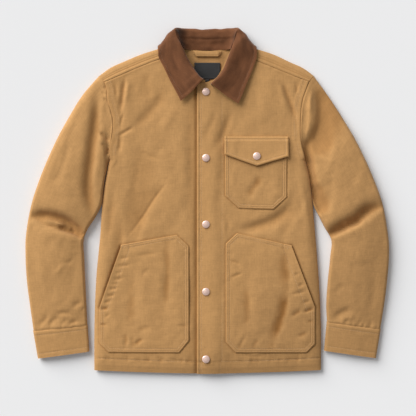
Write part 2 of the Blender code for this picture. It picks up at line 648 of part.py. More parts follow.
def collar(name, finish):
    rings = []
    for side in ("right", "left"):
        table = np.array(COLLAR[side])
        rows = by_level(table[:, 0], table, np.linspace(0, 1, COLLAR_ROWS))
        half = []
        for row in rows:
            tip = soft((row[0] - 0.88) / 0.12) * COLLAR_TIP_BOW
            section = collar_section(row, np.array([-mirror(side) * tip, -tip * 0.5]))
            over = soft((row[0] - 0.52) / 0.1)
            panel = body_top(section[:, 0], section[:, 1])
            lift = max(0, panel[0] + PATCH_GAP - section[0, 2])
            section[:, 2] += lift * over * np.clip(2 - np.arange(len(section)) / 5, 0, 1)
            fallen = np.arange(len(section)) >= 5
            raised = np.maximum(section[:, 2], panel + np.where(fallen, DOUBLED + PATCH_GAP, 0))
            section[:, 2] = np.maximum(mixed(section[:, 2], raised, over), 0)
            half.append(section)
        rings.append(half[::-1] if side == "right" else half[1:])
    grid = np.array(rings[0] + rings[1])
    upright = np.zeros(grid.shape[:2], bool)
    upright[np.abs(np.arange(len(grid)) - COLLAR_ROWS + 1) > 0.67 * COLLAR_ROWS, 0] = True
    return wall(name, grid, DOUBLED, finish, flip=True, upright=upright)


# Pieces sewn on


def patch(name, rows, columns, row_steps, thick, gap, finish, side, bulge=None):
    """A patch laid on a front: its rows run from the outer to the inner edge."""
    table = np.array(rows, float)
    levels = np.concatenate([
        np.linspace(i, i + 1, steps, endpoint=False) for i, steps in enumerate(row_steps)
    ] + [[len(rows) - 1]])
    sections = np.column_stack([np.interp(levels, np.arange(len(rows)), c) for c in table.T])
    across = np.linspace(0, 1, columns + 1)[None, :, None]
    grid = mixed(sections[:, None, :2], sections[:, None, 2:], across)
    x, y = grid[..., 0], grid[..., 1]
    height = front_top(x, y, side) + gap + thick
    if bulge is not None:
        height = height + bulge(x, y)
    return wall(name, np.dstack([x, y, height]), thick, finish, flip=side == "left")


def hand_pocket(name, side, finish):
    rows = HAND_POCKETS[side]
    mouth_low, mouth_high = np.array(rows[2][:2]), np.array(rows[3][:2])
    run = mouth_high - mouth_low

    def gape(x, y):
        along = (x - mouth_low[0]) * run[0] + (y - mouth_low[1]) * run[1]
        along = np.clip(along / (run @ run), 0, 1)
        away = np.hypot(x - mouth_low[0] - run[0] * along, y - mouth_low[1] - run[1] * along)
        return POCKET_GAPE * np.sin(np.pi * along) * np.exp(-((away / GAPE_WIDTH) ** 2))

    return patch(name, rows, 10, (1, 3, 6, 1), CANVAS, PATCH_GAP, finish, side, gape)


def chest_pocket(name, finish):
    return patch(name, CHEST_POCKET, 8, (1, 6), CANVAS, PATCH_GAP, finish, "left")


def chest_flap(name, finish):
    edge = np.array(CHEST_FLAP)
    x = np.interp(np.linspace(0, 1, 9), np.linspace(0, 1, 5), edge[:, 0])
    low = np.interp(x, edge[:, 0], edge[:, 1])
    y = mixed(FLAP_TOP_Y, low[None, :], np.linspace(0, 1, 5)[:, None])
    x = np.broadcast_to(x, y.shape)
    on_pocket = (CANVAS + PATCH_GAP) * soft((150 - y) / 10)
    height = front_top(x, y, "left") + PATCH_GAP + DOUBLED + on_pocket
    return wall(name, np.dstack([x, y, height]), DOUBLED, finish, flip=True)


def on_back(name, x, y, lift, thick, finish):
    height = neck_lift(x, y) + CANVAS + 2 * SEAM + lift + thick
    return wall(name, np.dstack([x, y, height]), thick, finish)


def hanger_loop(name, finish):
    """A folded strip whose ends turn up into the neck seam."""
    x = np.linspace(-LOOP["half"], LOOP["half"], 13)
    turn = soft((np.abs(x) - LOOP["half"] + 8) / 8)
    low = LOOP["y"] + LOOP["rise"] * turn
    y = low[None, :] + LOOP["width"] * np.array([0, 0.5, 1])[:, None] * (1 - 0.45 * turn)
    lift = 1.2 * (1 - turn)[None, :] * np.ones((3, 1)) + 0.1
    return on_back(name, np.broadcast_to(x, y.shape), y, lift, DOUBLED, finish)


def tape(name, sizes, columns, rows, finish):
    x, y = np.meshgrid(
        np.linspace(-sizes["half"], sizes["half"], columns + 1),
        np.linspace(sizes["low"], sizes["high"], rows + 1),
    )
    return on_back(name, x, y, 0.2, TAPE, finish)


def snap(name, x, y, lift, finish):
    """A snap's cap: a turned ring with a shallow face, on the cloth under it."""
    angles = np.arange(SNAP_SIDES) * 2 * np.pi / SNAP_SIDES
    around = SNAP_PROFILE[-1][0]
    rim_x, rim_y = x + around * np.cos(angles), y + around * np.sin(angles)
    base = front_top(np.append(rim_x, x), np.append(rim_y, y), "left").max() + lift
    points = [(x, y, base + SNAP_PROFILE[0][1])]
    for radius, height in SNAP_PROFILE[1:]:
        points += [(x + radius * np.cos(a), y + radius * np.sin(a), base + height) for a in angles]
    faces = [(0, 1 + k, 1 + (k + 1) % SNAP_SIDES) for k in range(SNAP_SIDES)]
    for turn in range(len(SNAP_PROFILE) - 2):
        first = 1 + turn * SNAP_SIDES
        for k in range(SNAP_SIDES):
            a, b = first + k, first + (k + 1) % SNAP_SIDES
            faces.append((b, a, a + SNAP_SIDES, b + SNAP_SIDES))
    last = 1 + (len(SNAP_PROFILE) - 2) * SNAP_SIDES
    faces.append(tuple(last + k for k in reversed(range(SNAP_SIDES))))
    return add_object(name, points, faces, finish)


def main():
    for item in list(bpy.data.objects):
        bpy.data.objects.remove(item, do_unlink=True)
    canvas = material("tan_canvas", TAN, 0.85)
    corduroy = material("brown_corduroy", BROWN, 0.95)
    tape_black = material("black_tape", BLACK, 0.7)
    pearl = material("snap_pearl", PEARL, 0.3, 0.4)

    back("back", canvas)
    front("front_right", "right", UNDERLAP_X, canvas)
    front("front_left", "left", PLACKET_X, canvas)
    for side in ("right", "left"):
        sleeve(f"sleeve_{side}", side, canvas)
        cuff(f"cuff_{side}", side, canvas)
        hand_pocket(f"hand_pocket_{side}", side, canvas)
    collar("collar", corduroy)
    chest_pocket("chest_pocket", canvas)
    chest_flap("chest_flap", canvas)
    hanger_loop("hanger_loop", canvas)
    tape("label", LABEL, 6, 4, tape_black)
    tape("size_tab", SIZE_TAB, 2, 1, tape_black)
    for number, y in enumerate(SNAP_YS, 1):
        snap(f"snap_{number}", SNAP_X, y, SEAM, pearl)
    on_flap = PATCH_GAP + DOUBLED + CANVAS + PATCH_GAP + SEAM
    snap("flap_snap", *FLAP_SNAP, on_flap, pearl)


main()
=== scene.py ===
import bmesh
import bpy
import numpy as np
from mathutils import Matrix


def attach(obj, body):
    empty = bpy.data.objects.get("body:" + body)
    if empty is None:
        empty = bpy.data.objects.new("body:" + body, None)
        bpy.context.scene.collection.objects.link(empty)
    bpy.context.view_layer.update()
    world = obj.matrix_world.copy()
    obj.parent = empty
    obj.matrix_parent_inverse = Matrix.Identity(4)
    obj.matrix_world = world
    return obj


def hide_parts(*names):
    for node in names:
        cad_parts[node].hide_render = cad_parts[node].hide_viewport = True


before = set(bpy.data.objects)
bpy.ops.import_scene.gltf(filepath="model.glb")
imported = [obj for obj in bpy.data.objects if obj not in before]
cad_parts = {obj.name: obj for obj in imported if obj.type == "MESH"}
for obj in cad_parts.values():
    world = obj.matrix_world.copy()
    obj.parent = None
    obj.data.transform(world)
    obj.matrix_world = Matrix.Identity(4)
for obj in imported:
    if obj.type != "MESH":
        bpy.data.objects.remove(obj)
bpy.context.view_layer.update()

mm = 0.001  # tables and heights are in millimetres, meshes in metres
sharpAngle = np.radians(50)

# ---- camera, lights, floor

view = {"lens": 120.0, "sensor": 36.0, "field": 0.957, "middle": (0.0016, -0.0161), "level": 0.016}
studio = {
    "key": 4.2, "keySpread": 0.85, "keyFrom": (-0.61, 0.61, 0.455), "keyTint": (1.0, 0.99, 0.975),
    "sky": 0.35, "skyTint": (0.985, 0.985, 0.985),
    "floor": (0.853, 0.86, 0.876), "floorHalf": 4.0, "floorZ": -0.0004, "surface": {"Roughness": 0.8},
}


def linked(name, data):  # an object of that data, in the scene
    made = bpy.data.objects.new(name, data)
    bpy.context.scene.collection.objects.link(made)
    return made


def makeStudio():
    scene = bpy.context.scene
    scene.view_settings.view_transform = "Standard"
    lens = bpy.data.cameras.new("camera")
    lens.lens, lens.sensor_width = view["lens"], view["sensor"]
    lens.clip_end = 50
    camera = linked("camera", lens)
    camera.location = (*view["middle"], view["level"] + view["lens"] / view["sensor"] * view["field"])
    scene.camera = camera

    sun = bpy.data.lights.new("keyLight", "SUN")
    sun.energy, sun.angle, sun.color = studio["key"], studio["keySpread"], studio["keyTint"]
    x, y, z = studio["keyFrom"]
    linked("keyLight", sun).rotation_euler = (0, np.arctan2(np.hypot(x, y), z), np.arctan2(y, x))

    world = bpy.data.worlds.new("softbox")
    world.use_nodes = True
    sky = world.node_tree.nodes["Background"]
    sky.inputs["Color"].default_value = (*studio["skyTint"], 1)
    sky.inputs["Strength"].default_value = studio["sky"]
    scene.world = world

    corners = [(across * studio["floorHalf"], up * studio["floorHalf"], studio["floorZ"])
               for across, up in ((-1, -1), (1, -1), (1, 1), (-1, 1))]
    mesh = bpy.data.meshes.new("floor")
    mesh.from_pydata(corners, [], [(0, 1, 2, 3)])
    mesh.materials.append(Shader("paleFloor", studio["floor"], studio["surface"]).material)
    linked("floor", mesh)


# ---- shader maths

class Field:  # a socket that Python's operators add Math nodes to
    def __init__(self, shader, socket):
        self.shader, self.socket = shader, socket

    def join(self, kind, other, turned=False):
        pair = (other, self) if turned else (self, other)
        return self.shader.node("ShaderNodeMath", {"operation": kind}, dict(enumerate(pair)))

    def __add__(self, other):
        return self.join("ADD", other)

    def __sub__(self, other):
        return self.join("SUBTRACT", other)

    def __rsub__(self, other):
        return self.join("SUBTRACT", other, True)

    def __mul__(self, other):
        return self.join("MULTIPLY", other)

    def sine(self):
        return self.join("SINE", 0)

    __radd__, __rmul__ = __add__, __mul__


class Shader:
    def __init__(self, name, colour, surface):
        self.material = bpy.data.materials.new(name)
        self.material.use_nodes = True
        self.tree = self.material.node_tree
        self.surface = self.tree.nodes["Principled BSDF"]
        self.colour = colour
        self.surface.inputs["Base Color"].default_value = (*colour, 1)
        for socket, value in surface.items():
            self.surface.inputs[socket].default_value = value

    def node(self, kind, settings=None, inputs=None, output=0):
        made = self.tree.nodes.new(kind)
        for key, value in (settings or {}).items():
            setattr(made, key, value)
        for key, value in (inputs or {}).items():
            self.feed(made.inputs[key], value)
        return Field(self, made.outputs[output])

    def feed(self, socket, value):
        if isinstance(value, Field):
            self.tree.links.new(value.socket, socket)
        else:
            socket.default_value = value

    def noise(self, place, scale, detail=2.0):
        return self.node("ShaderNodeTexNoise", {}, {"Vector": place, "Scale": scale, "Detail": detail})

    def grain(self, place, stretch, detail=2.0):  # noise drawn out by a stretch for each axis
        drawn = self.node("ShaderNodeVectorMath", {"operation": "MULTIPLY"}, {0: place, 1: stretch})
        return self.noise(drawn, 1.0, detail)

    def attribute(self, name):
        return self.node("ShaderNodeAttribute", {"attribute_name": name}, {}, 2)

    def blend(self, share, first, second):
        return self.node("ShaderNodeMix", {"data_type": "RGBA"},
                         {0: share, 6: (*first, 1), 7: (*second, 1)}, 2)

    def paint(self, shade, colour=None):  # a colour times a varying shade
        tinted = self.node("ShaderNodeVectorMath", {"operation": "SCALE"},
                           {0: colour or self.colour, "Scale": shade})
        self.feed(self.surface.inputs["Base Color"], tinted)

    def emboss(self, height, strength, distance):
        bumped = self.node("ShaderNodeBump", {},
                           {"Height": height, "Strength": strength, "Distance": distance})
        self.feed(self.surface.inputs["Normal"], bumped)

    def parts(self, vector, *which):  # single parts of a vector, 0 to 2
        return [self.node("ShaderNodeSeparateXYZ", {}, {0: vector}, part) for part in which]

    def weaveMap(self):
        return self.node("ShaderNodeUVMap", {"uv_map": "weave"})

    def place(self):
        return self.node("ShaderNodeTexCoord", {}, {}, 3)


canvas = {
    # deep is the colour of painted shade in creases, grooves and under other parts
    "colour": (0.500, 0.272, 0.101), "deep": (0.310, 0.138, 0.034), "yarn": 0.0007,
    "warpGrain": (430, 38, 1), "weftGrain": (34, 460, 1), "streak": 0.23,
    "slubGrains": ((1500, 120, 1), (110, 1500, 1)), "slub": 0.13,
    "mottleSizes": ((13.0, 5.0), (75.0, 3.0), (240.0, 2.0)), "mottle": 0.15,
    # fade is painted shade: the canvas darkens towards the lower right, away from the key light
    "wear": 0.14, "fade": 0.17, "falloffShadeFrom": 0.2, "falloffShadeTo": 0.52, "relief": 0.5, "reliefDepth": 0.00028,
    "speckSize": 700.0, "speckFrom": 0.4, "speck": 1.2, "crossBump": 0.5, "grainBump": 0.8, "slubBump": 0.4,
    "surface": {"Roughness": 0.88, "Sheen Weight": 0.12, "Sheen Roughness": 0.5,
                "Specular IOR Level": 0.25},
}


def makeCanvas():
    shader = Shader("duckCanvas", canvas["colour"], canvas["surface"])
    weaveMap, place = shader.weaveMap(), shader.place()
    across, along = shader.parts(weaveMap, 0, 1)
    warp, weft = shader.grain(weaveMap, canvas["warpGrain"]), shader.grain(weaveMap, canvas["weftGrain"])
    slub = sum(shader.grain(weaveMap, stretch, 1.0) for stretch in canvas["slubGrains"])
    mottle = sum(shader.noise(place, *size) for size in canvas["mottleSizes"])
    speck = shader.noise(place, canvas["speckSize"], 1.0) * canvas["speck"]
    shade = 1 + (warp + weft - 1) * canvas["streak"] + (mottle - 1.5) * canvas["mottle"]
    shade = shade + (slub - 1) * canvas["slub"]
    shade = shade + shader.attribute("wear") * (canvas["speckFrom"] + speck) * canvas["wear"]
    # painted shade: darker towards the lower right, where the key light falls off
    x, y = shader.parts(place, 0, 1)
    shade = shade - shader.node("ShaderNodeMapRange", {"interpolation_type": "SMOOTHSTEP"},
                                {0: x - y, 1: canvas["falloffShadeFrom"], 2: canvas["falloffShadeTo"], 3: 0.0,
                                 4: canvas["fade"]})
    # painted shade: the colour goes towards the darker deep colour where the paintedShade attribute marks
    # creases, stitch grooves and places under other parts
    shader.paint(shade, shader.blend(shader.attribute("paintedShade"), canvas["colour"], canvas["deep"]))
    turns = np.pi / canvas["yarn"]
    crossings = (across * turns).sine() * (along * turns).sine()
    bumps = crossings * canvas["crossBump"] + warp * canvas["grainBump"] + weft * canvas["grainBump"]
    shader.emboss(bumps + slub * canvas["slubBump"], canvas["relief"], canvas["reliefDepth"])
    return shader.material


corduroy = {
    "colour": (0.158, 0.062, 0.0255), "wale": 0.0024, "waleShade": 0.22, "mottle": 1.25, "pileShade": 0.6,
    "wear": 0.4, "deepShade": 0.6, "napGrain": (60, 22, 1), "pileGrain": (900, 350, 1),
    "relief": 0.6, "reliefDepth": 0.0004,
    "surface": {"Roughness": 0.92, "Sheen Weight": 0.25, "Sheen Roughness": 0.4, "Specular IOR Level": 0.2},
}


def makeCorduroy():
    shader = Shader("brownCorduroy", corduroy["colour"], corduroy["surface"])
    weaveMap = shader.weaveMap()
    across, = shader.parts(weaveMap, 0)
    waves = (across * (2 * np.pi / corduroy["wale"])).sine()
    nap = shader.grain(weaveMap, corduroy["napGrain"], 3.0)
    pile = shader.grain(weaveMap, corduroy["pileGrain"])
    shade = 1 + waves * corduroy["waleShade"] + (nap - 0.5) * corduroy["mottle"]
    shade = shade + (pile - 0.5) * corduroy["pileShade"] + shader.attribute("wear") * corduroy["wear"]
    # painted shade: darker where the paintedShade attribute marks the collar stand's inner corners
    shader.paint(shade - shader.attribute("paintedShade") * corduroy["deepShade"])
    shader.emboss(waves * 0.6 + pile * 0.5, corduroy["relief"], corduroy["reliefDepth"])
    return shader.material


tape = {
    "colour": (0.022, 0.0225, 0.0235), "rib": 0.0009, "dustGrain": (500, 500, 1),
    "surface": {"Roughness": 0.6, "Sheen Weight": 0.1},
}


def makeTape():
    shader = Shader("blackTape", tape["colour"], tape["surface"])
    weaveMap = shader.weaveMap()
    along, = shader.parts(weaveMap, 1)
    ribs = (along * (2 * np.pi / tape["rib"])).sine()
    dust = shader.grain(weaveMap, tape["dustGrain"], 3.0)
    shader.paint(0.8 + ribs * 0.12 + dust * 0.5)
    shader.emboss(ribs + dust, 0.4, 0.0002)
    return shader.material


threads = {
    "tan": (0.62, 0.41, 0.22), "brown": (0.24, 0.12, 0.06), "twist": 1800.0,
    "surface": {"Roughness": 0.6, "Sheen Weight": 0.2},
}


def makeThread(tone):
    shader = Shader(tone + "Thread", threads[tone], threads["surface"])
    twist = shader.noise(shader.place(), threads["twist"], 1.0)
    shader.paint(0.75 + twist * 0.5)
    shader.emboss(twist, 0.5, 0.0002)
    return shader.material


copper = {"colour": (0.90, 0.645, 0.55), "haze": 260.0, "wear": 0.55, "surface": {"Metallic": 0.45}}


def makeCopper():
    shader = Shader("copperCap", copper["colour"], copper["surface"])
    haze = shader.noise(shader.place(), copper["haze"], 4.0)
    # the cap is darker at its foot and in the groove round its face, as the snaps' dark table gives
    shader.paint(0.95 + haze * 0.15 - shader.attribute("wear") * copper["wear"])
    shader.feed(shader.surface.inputs["Roughness"], 0.26 + haze * 0.2)
    shader.emboss(haze, 0.15, 0.0002)
    return shader.material


# ---- lines, levels and creases

def byLevel(levels, values, at):
    levels, values, at = np.array(levels, float), np.array(values, float), np.array(at, float)
    slopes = np.gradient(values, levels, axis=0)
    i = np.clip(np.searchsorted(levels, at, side="right") - 1, 0, len(levels) - 2)
    width = (levels[i + 1] - levels[i])[:, None]
    s = (at[:, None] - levels[i][:, None]) / width
    start, end = values[i], values[i + 1]
    out, back = slopes[i] * width, slopes[i + 1] * width
    return (start * (2 * s**3 - 3 * s**2 + 1) + out * (s**3 - 2 * s**2 + s)
            + end * (3 * s**2 - 2 * s**3) + back * (s**3 - s**2))


def runOf(line):  # how far along a line each of its points lies
    return np.concatenate([[0], np.cumsum(np.linalg.norm(np.diff(line, axis=0), axis=1))])


def curve(points, at):
    points = np.array(points, float)
    run = runOf(points)
    return byLevel(run / run[-1], points, at)


def eased(count):
    return (1 - np.cos(np.pi * np.arange(count + 1) / count)) / 2


def roundOver(reach):
    return np.sqrt(np.clip(1 - (1 - np.clip(reach, 0, 1)) ** 2, 0, 1))


def soft(reach):
    reach = np.clip(reach, 0, 1)
    return reach * reach * (3 - 2 * reach)


def mixed(start, end, share):
    return start + (end - start) * share


def bell(away, width):
    return np.exp(-((away / width) ** 2))


def ridged(rows, away):  # rows of height, place and width
    return sum(height * bell(away - at, width) for height, at, width in rows)


def nearLine(points, x, y):  # signed distance to a line (left is positive) and how far along it
    points = np.asarray(points, float)[:, :2]
    step = np.diff(points, axis=0)
    before = 0.0
    best, side, run = np.full(x.shape, 1e9), np.ones(x.shape), np.zeros(x.shape)
    for (sx, sy), (dx, dy) in zip(points[:-1], step):
        size = max(np.hypot(dx, dy), 1e-9)
        t = np.clip(((x - sx) * dx + (y - sy) * dy) / size**2, 0, 1)
        away = np.hypot(x - sx - dx * t, y - sy - dy * t)
        closer = away < best
        best = np.where(closer, away, best)
        side = np.where(closer, np.sign(dx * (y - sy) - dy * (x - sx)), side)
        run = np.where(closer, before + t * size, run)
        before += size
    return best * side, run, before


def awayFrom(points, x, y, closed=False):  # distance to a line or an outline, and how far along it
    points = np.asarray(points, float)
    away, run, _ = nearLine(np.concatenate([points, points[:1]]) if closed else points, x, y)
    return np.abs(away), run


# each crease is a row of its widths left and right of a path, its depth and the path's points
creaseReach, creaseEnds, creaseRun = 2.6, 0.25, 0.3


def creaseHeight(creases, x, y):
    height = np.zeros(x.shape)
    for left, right, depth, *points in creases:
        path = curve(points, np.linspace(0, 1, 4 * len(points)))
        reach = creaseReach * max(left, right)
        near = ((x > path[:, 0].min() - reach) & (x < path[:, 0].max() + reach)
                & (y > path[:, 1].min() - reach) & (y < path[:, 1].max() + reach))
        if not near.any():
            continue
        away, run, length = nearLine(path, x[near], y[near])
        share = run / length
        within = soft(share / creaseRun) * soft((1 - share) / creaseRun)
        ends = creaseEnds + (1 - creaseEnds) * within
        height[near] += depth * bell(away, np.where(away > 0, left, right)) * ends
    return height


def ripple(x, y, size, seed):  # smooth random heights from -1 to 1, with features of that size
    table = np.random.default_rng(seed).uniform(-1, 1, (97, 97))
    u, v = x / size + 41.3, y / size + 43.7
    i, j = np.floor(u).astype(int), np.floor(v).astype(int)
    s, t = soft(u - i), soft(v - j)
    a, b = table[i % 97, j % 97], table[(i + 1) % 97, j % 97]
    c, d = table[i % 97, (j + 1) % 97], table[(i + 1) % 97, (j + 1) % 97]
    return mixed(mixed(a, b, s), mixed(c, d, s), t)


def rippled(rows, x, y):  # rows of height, stretch across and up, size and seed
    return sum(height * ripple(x * across, y * up, size, seed) for height, across, up, size, seed in rows)


def filled(bottom, top, start, end, across, up):  # a grid between four border lines
    across, up = across[None, :, None], up[:, None, None]
    corners = ((1 - across) * (1 - up) * bottom[0] + across * (1 - up) * bottom[-1]
               + (1 - across) * up * top[0] + across * up * top[-1])
    return mixed(start[:, None], end[:, None], across) + mixed(bottom[None], top[None], up) - corners


def inside(outline, x, y):
    found = np.zeros(x.shape, bool)
    for (ax, ay), (bx, by) in zip(outline, np.roll(outline, -1, axis=0)):
        crosses = (ay > y) != (by > y)
        found ^= crosses & (x < (bx - ax) * (y - ay) / (by - ay + 1e-12) + ax)
    return found


# ---- meshes

def gridNormals(grid, ring=False):
    if ring:
        wide = np.concatenate([grid[:, -1:], grid, grid[:, :1]], axis=1)
        across = wide[:, 2:] - wide[:, :-2]
    else:
        across = np.gradient(grid, axis=1)
    normal = np.cross(across, np.gradient(grid, axis=0))
    return normal / np.maximum(np.linalg.norm(normal, axis=2), 1e-9)[..., None]


def shell(name, grid, weave, thick, finish, outward=1, ring=False, kept=None, wear=None, paintedShade=None):
    rows, columns = grid.shape[:2]
    wide = columns if ring else columns - 1
    count = rows * columns
    inner = (grid - gridNormals(grid, ring) * (thick * outward)).reshape(-1, 3)
    i, j = np.meshgrid(np.arange(rows - 1), np.arange(wide), indexing="ij")
    a = (i * columns + j).ravel()
    b = (i * columns + (j + 1) % columns).ravel()
    quads = np.column_stack([a, b, b + columns, a + columns])
    if kept is not None:
        quads = quads[kept.ravel()]
    flat = np.asarray(weave, float).reshape(-1, 2)
    spots = flat[quads]
    if ring:  # the last column's faces run on past the first column's map
        turn = (quads[:, 0] % columns) == columns - 1
        spots[turn, 1:3, 0] = 2 * spots[turn, 0:1, 0] - flat[quads[turn, 0] - 1, 0][:, None]
    if outward < 0:
        quads, spots = quads[:, ::-1], spots[:, ::-1]
    sides = np.concatenate([quads[:, [k, (k + 1) % 4]] for k in range(4)])
    sideSpots = np.concatenate([spots[:, [k, (k + 1) % 4]] for k in range(4)])
    keys = sides.min(1) * count + sides.max(1)
    _, first, times = np.unique(keys, return_index=True, return_counts=True)
    rim = np.sort(first[times == 1])
    border = np.column_stack([sides[rim, 1], sides[rim, 0], sides[rim, 0] + count, sides[rim, 1] + count])
    borderSpots = sideSpots[rim][:, [1, 0, 0, 1]]
    faces = np.concatenate([quads, quads[:, ::-1] + count, border])
    spots = np.concatenate([spots, spots[:, ::-1], borderSpots])
    points = np.concatenate([grid.reshape(-1, 3), inner])
    used, faces = np.unique(faces, return_inverse=True)
    faces = faces.reshape(-1, 4)
    mesh = bpy.data.meshes.new(name)
    mesh.from_pydata((points[used] * mm).tolist(), [], faces.tolist())
    layer = mesh.uv_layers.new(name="weave")
    layer.data.foreach_set("uv", (spots.reshape(-1, 2) * mm).ravel())
    # wear is worn cloth; paintedShade is painted shade in creases, grooves and under other parts
    for title, values in (("wear", wear), ("paintedShade", paintedShade)):
        values = np.zeros(count) if values is None else np.clip(values.ravel(), 0, 1)
        mesh.attributes.new(title, "FLOAT", "POINT").data.foreach_set("value", np.tile(values, 2)[used])
    mesh.materials.append(finish)
    mesh.shade_smooth()
    mesh.set_sharp_from_angle(angle=sharpAngle)
    return linked(name, mesh)


def ringWeave(grid):  # map of a tube: round it across, down it along
    around = np.linalg.norm(np.diff(grid, axis=1), axis=2).mean(0)
    down = np.linalg.norm(np.diff(grid, axis=0), axis=2).mean(1)
    across, along = (np.concatenate([[0], np.cumsum(steps)]) for steps in (around, down))
    return np.dstack(np.meshgrid(across, -along))


# ---- repeated things: stitches and snaps

thread = {
    "pitch": 3.4, "length": 2.7, "thick": 0.34, "sides": 5, "lift": 0.12, "smallest": 0.86, "seed": 7,
    "lineStep": 2.0,
    "rings": [(-0.5, 0.0), (-0.34, 0.8), (0.0, 1.0), (0.34, 0.8), (0.5, 0.0)],
}


def turnedShape(name, rings, sides, axis, worn=None):  # round about an axis, 0 or 2, and closed
    angles = 2 * np.pi * np.arange(sides) / sides
    points = [np.roll((along * mm, radius * np.cos(angle) * mm, radius * np.sin(angle) * mm), axis)
              for along, radius in rings for angle in angles]
    faces = []
    for ring in range(len(rings) - 1):
        for k in range(sides):
            a, b = ring * sides + k, ring * sides + (k + 1) % sides
            faces.append((a, b, b + sides, a + sides))
    mesh = bpy.data.meshes.new(name)
    mesh.from_pydata(points, [], faces)
    if worn:
        mesh.attributes.new("wear", "FLOAT", "POINT").data.foreach_set("value", np.repeat(worn, sides))
    welded = bmesh.new()
    welded.from_mesh(mesh)
    bmesh.ops.remove_doubles(welded, verts=welded.verts, dist=1e-7)
    bmesh.ops.recalc_face_normals(welded, faces=welded.faces)
    welded.to_mesh(mesh)
    welded.free()
    mesh.shade_smooth()
    return linked(name, mesh)


def instanceTree(name, shape, finish, amount, inRows):
    tree = bpy.data.node_groups.new(name, "GeometryNodeTree")
    for title, way, kind in (("Places", "INPUT", "Geometry"), (amount, "INPUT", "Float"),
                             ("Made", "OUTPUT", "Geometry")):
        tree.interface.new_socket(title, in_out=way, socket_type="NodeSocket" + kind)

    def node(kind, settings=None, **links):
        made = tree.nodes.new(kind)
        for key, value in (settings or {}).items():
            setattr(made, key, value)
        for key, value in links.items():
            socket = made.inputs[key.replace("_", " ")]
            if isinstance(value, bpy.types.NodeSocket):
                tree.links.new(value, socket)
            else:
                socket.default_value = value
        return made

    given = node("NodeGroupInput")
    held = node("GeometryNodeObjectInfo", Object=shape)
    placed = node("GeometryNodeInstanceOnPoints", Instance=held.outputs["Geometry"])
    points, scale = given.outputs["Places"], given.outputs[amount]
    if inRows:
        lines = node("GeometryNodeMeshToCurve", Mesh=points)
        points = node("GeometryNodeResampleCurve", {"mode": "LENGTH"}, Curve=lines.outputs[0],
                      Length=scale).outputs[0]
        line = node("GeometryNodeInputTangent")
        turned = node("FunctionNodeAlignRotationToVector", {"axis": "X"}, Vector=line.outputs[0])
        tree.links.new(turned.outputs[0], placed.inputs["Rotation"])
        size = node("FunctionNodeRandomValue", {"data_type": "FLOAT"}, Seed=thread["seed"])
        size.inputs[2].default_value, size.inputs[3].default_value = thread["smallest"], 1.0
        scale = size.outputs[1]
    tree.links.new(points, placed.inputs["Points"])
    tree.links.new(scale, placed.inputs["Scale"])
    real = node("GeometryNodeRealizeInstances", Geometry=placed.outputs[0])
    painted = node("GeometryNodeSetMaterial", Geometry=real.outputs[0], Material=finish)
    tree.links.new(painted.outputs[0], node("NodeGroupOutput").inputs["Made"])
    return tree


def instanced(name, points, edges, shape, finish, amount, value):
    places = bpy.data.meshes.new(name + "Places")
    places.from_pydata(points, edges, [])
    guide = linked(name + "Places", places)
    tree = instanceTree(name + "Tree", shape, finish, amount, bool(edges))
    modifier = guide.modifiers.new("instances", "NODES")
    modifier.node_group = tree
    for item in tree.interface.items_tree:
        if item.name == amount:
            modifier[item.identifier] = value
    bpy.context.view_layer.update()
    graph = bpy.context.evaluated_depsgraph_get()
    mesh = bpy.data.meshes.new_from_object(guide.evaluated_get(graph), depsgraph=graph)
    mesh.name = name
    guide.modifiers.remove(modifier)
    bpy.data.objects.remove(guide, do_unlink=True)
    return linked(name, mesh)


def makeStitch():
    rings = [(along * thread["length"], share * thread["thick"]) for along, share in thread["rings"]]
    return turnedShape("stitchShape", rings, thread["sides"], 0)


def sewRows(name, rows, shape, finish):
    points, edges = [], []
    for row in rows:
        first = len(points)
        points += (row * mm).tolist()
        edges += [(k, k + 1) for k in range(first, len(points) - 1)]
    return instanced(name, points, edges, shape, finish, "Pitch", thread["pitch"] * mm)


# ---- body: the lay of the fronts and back

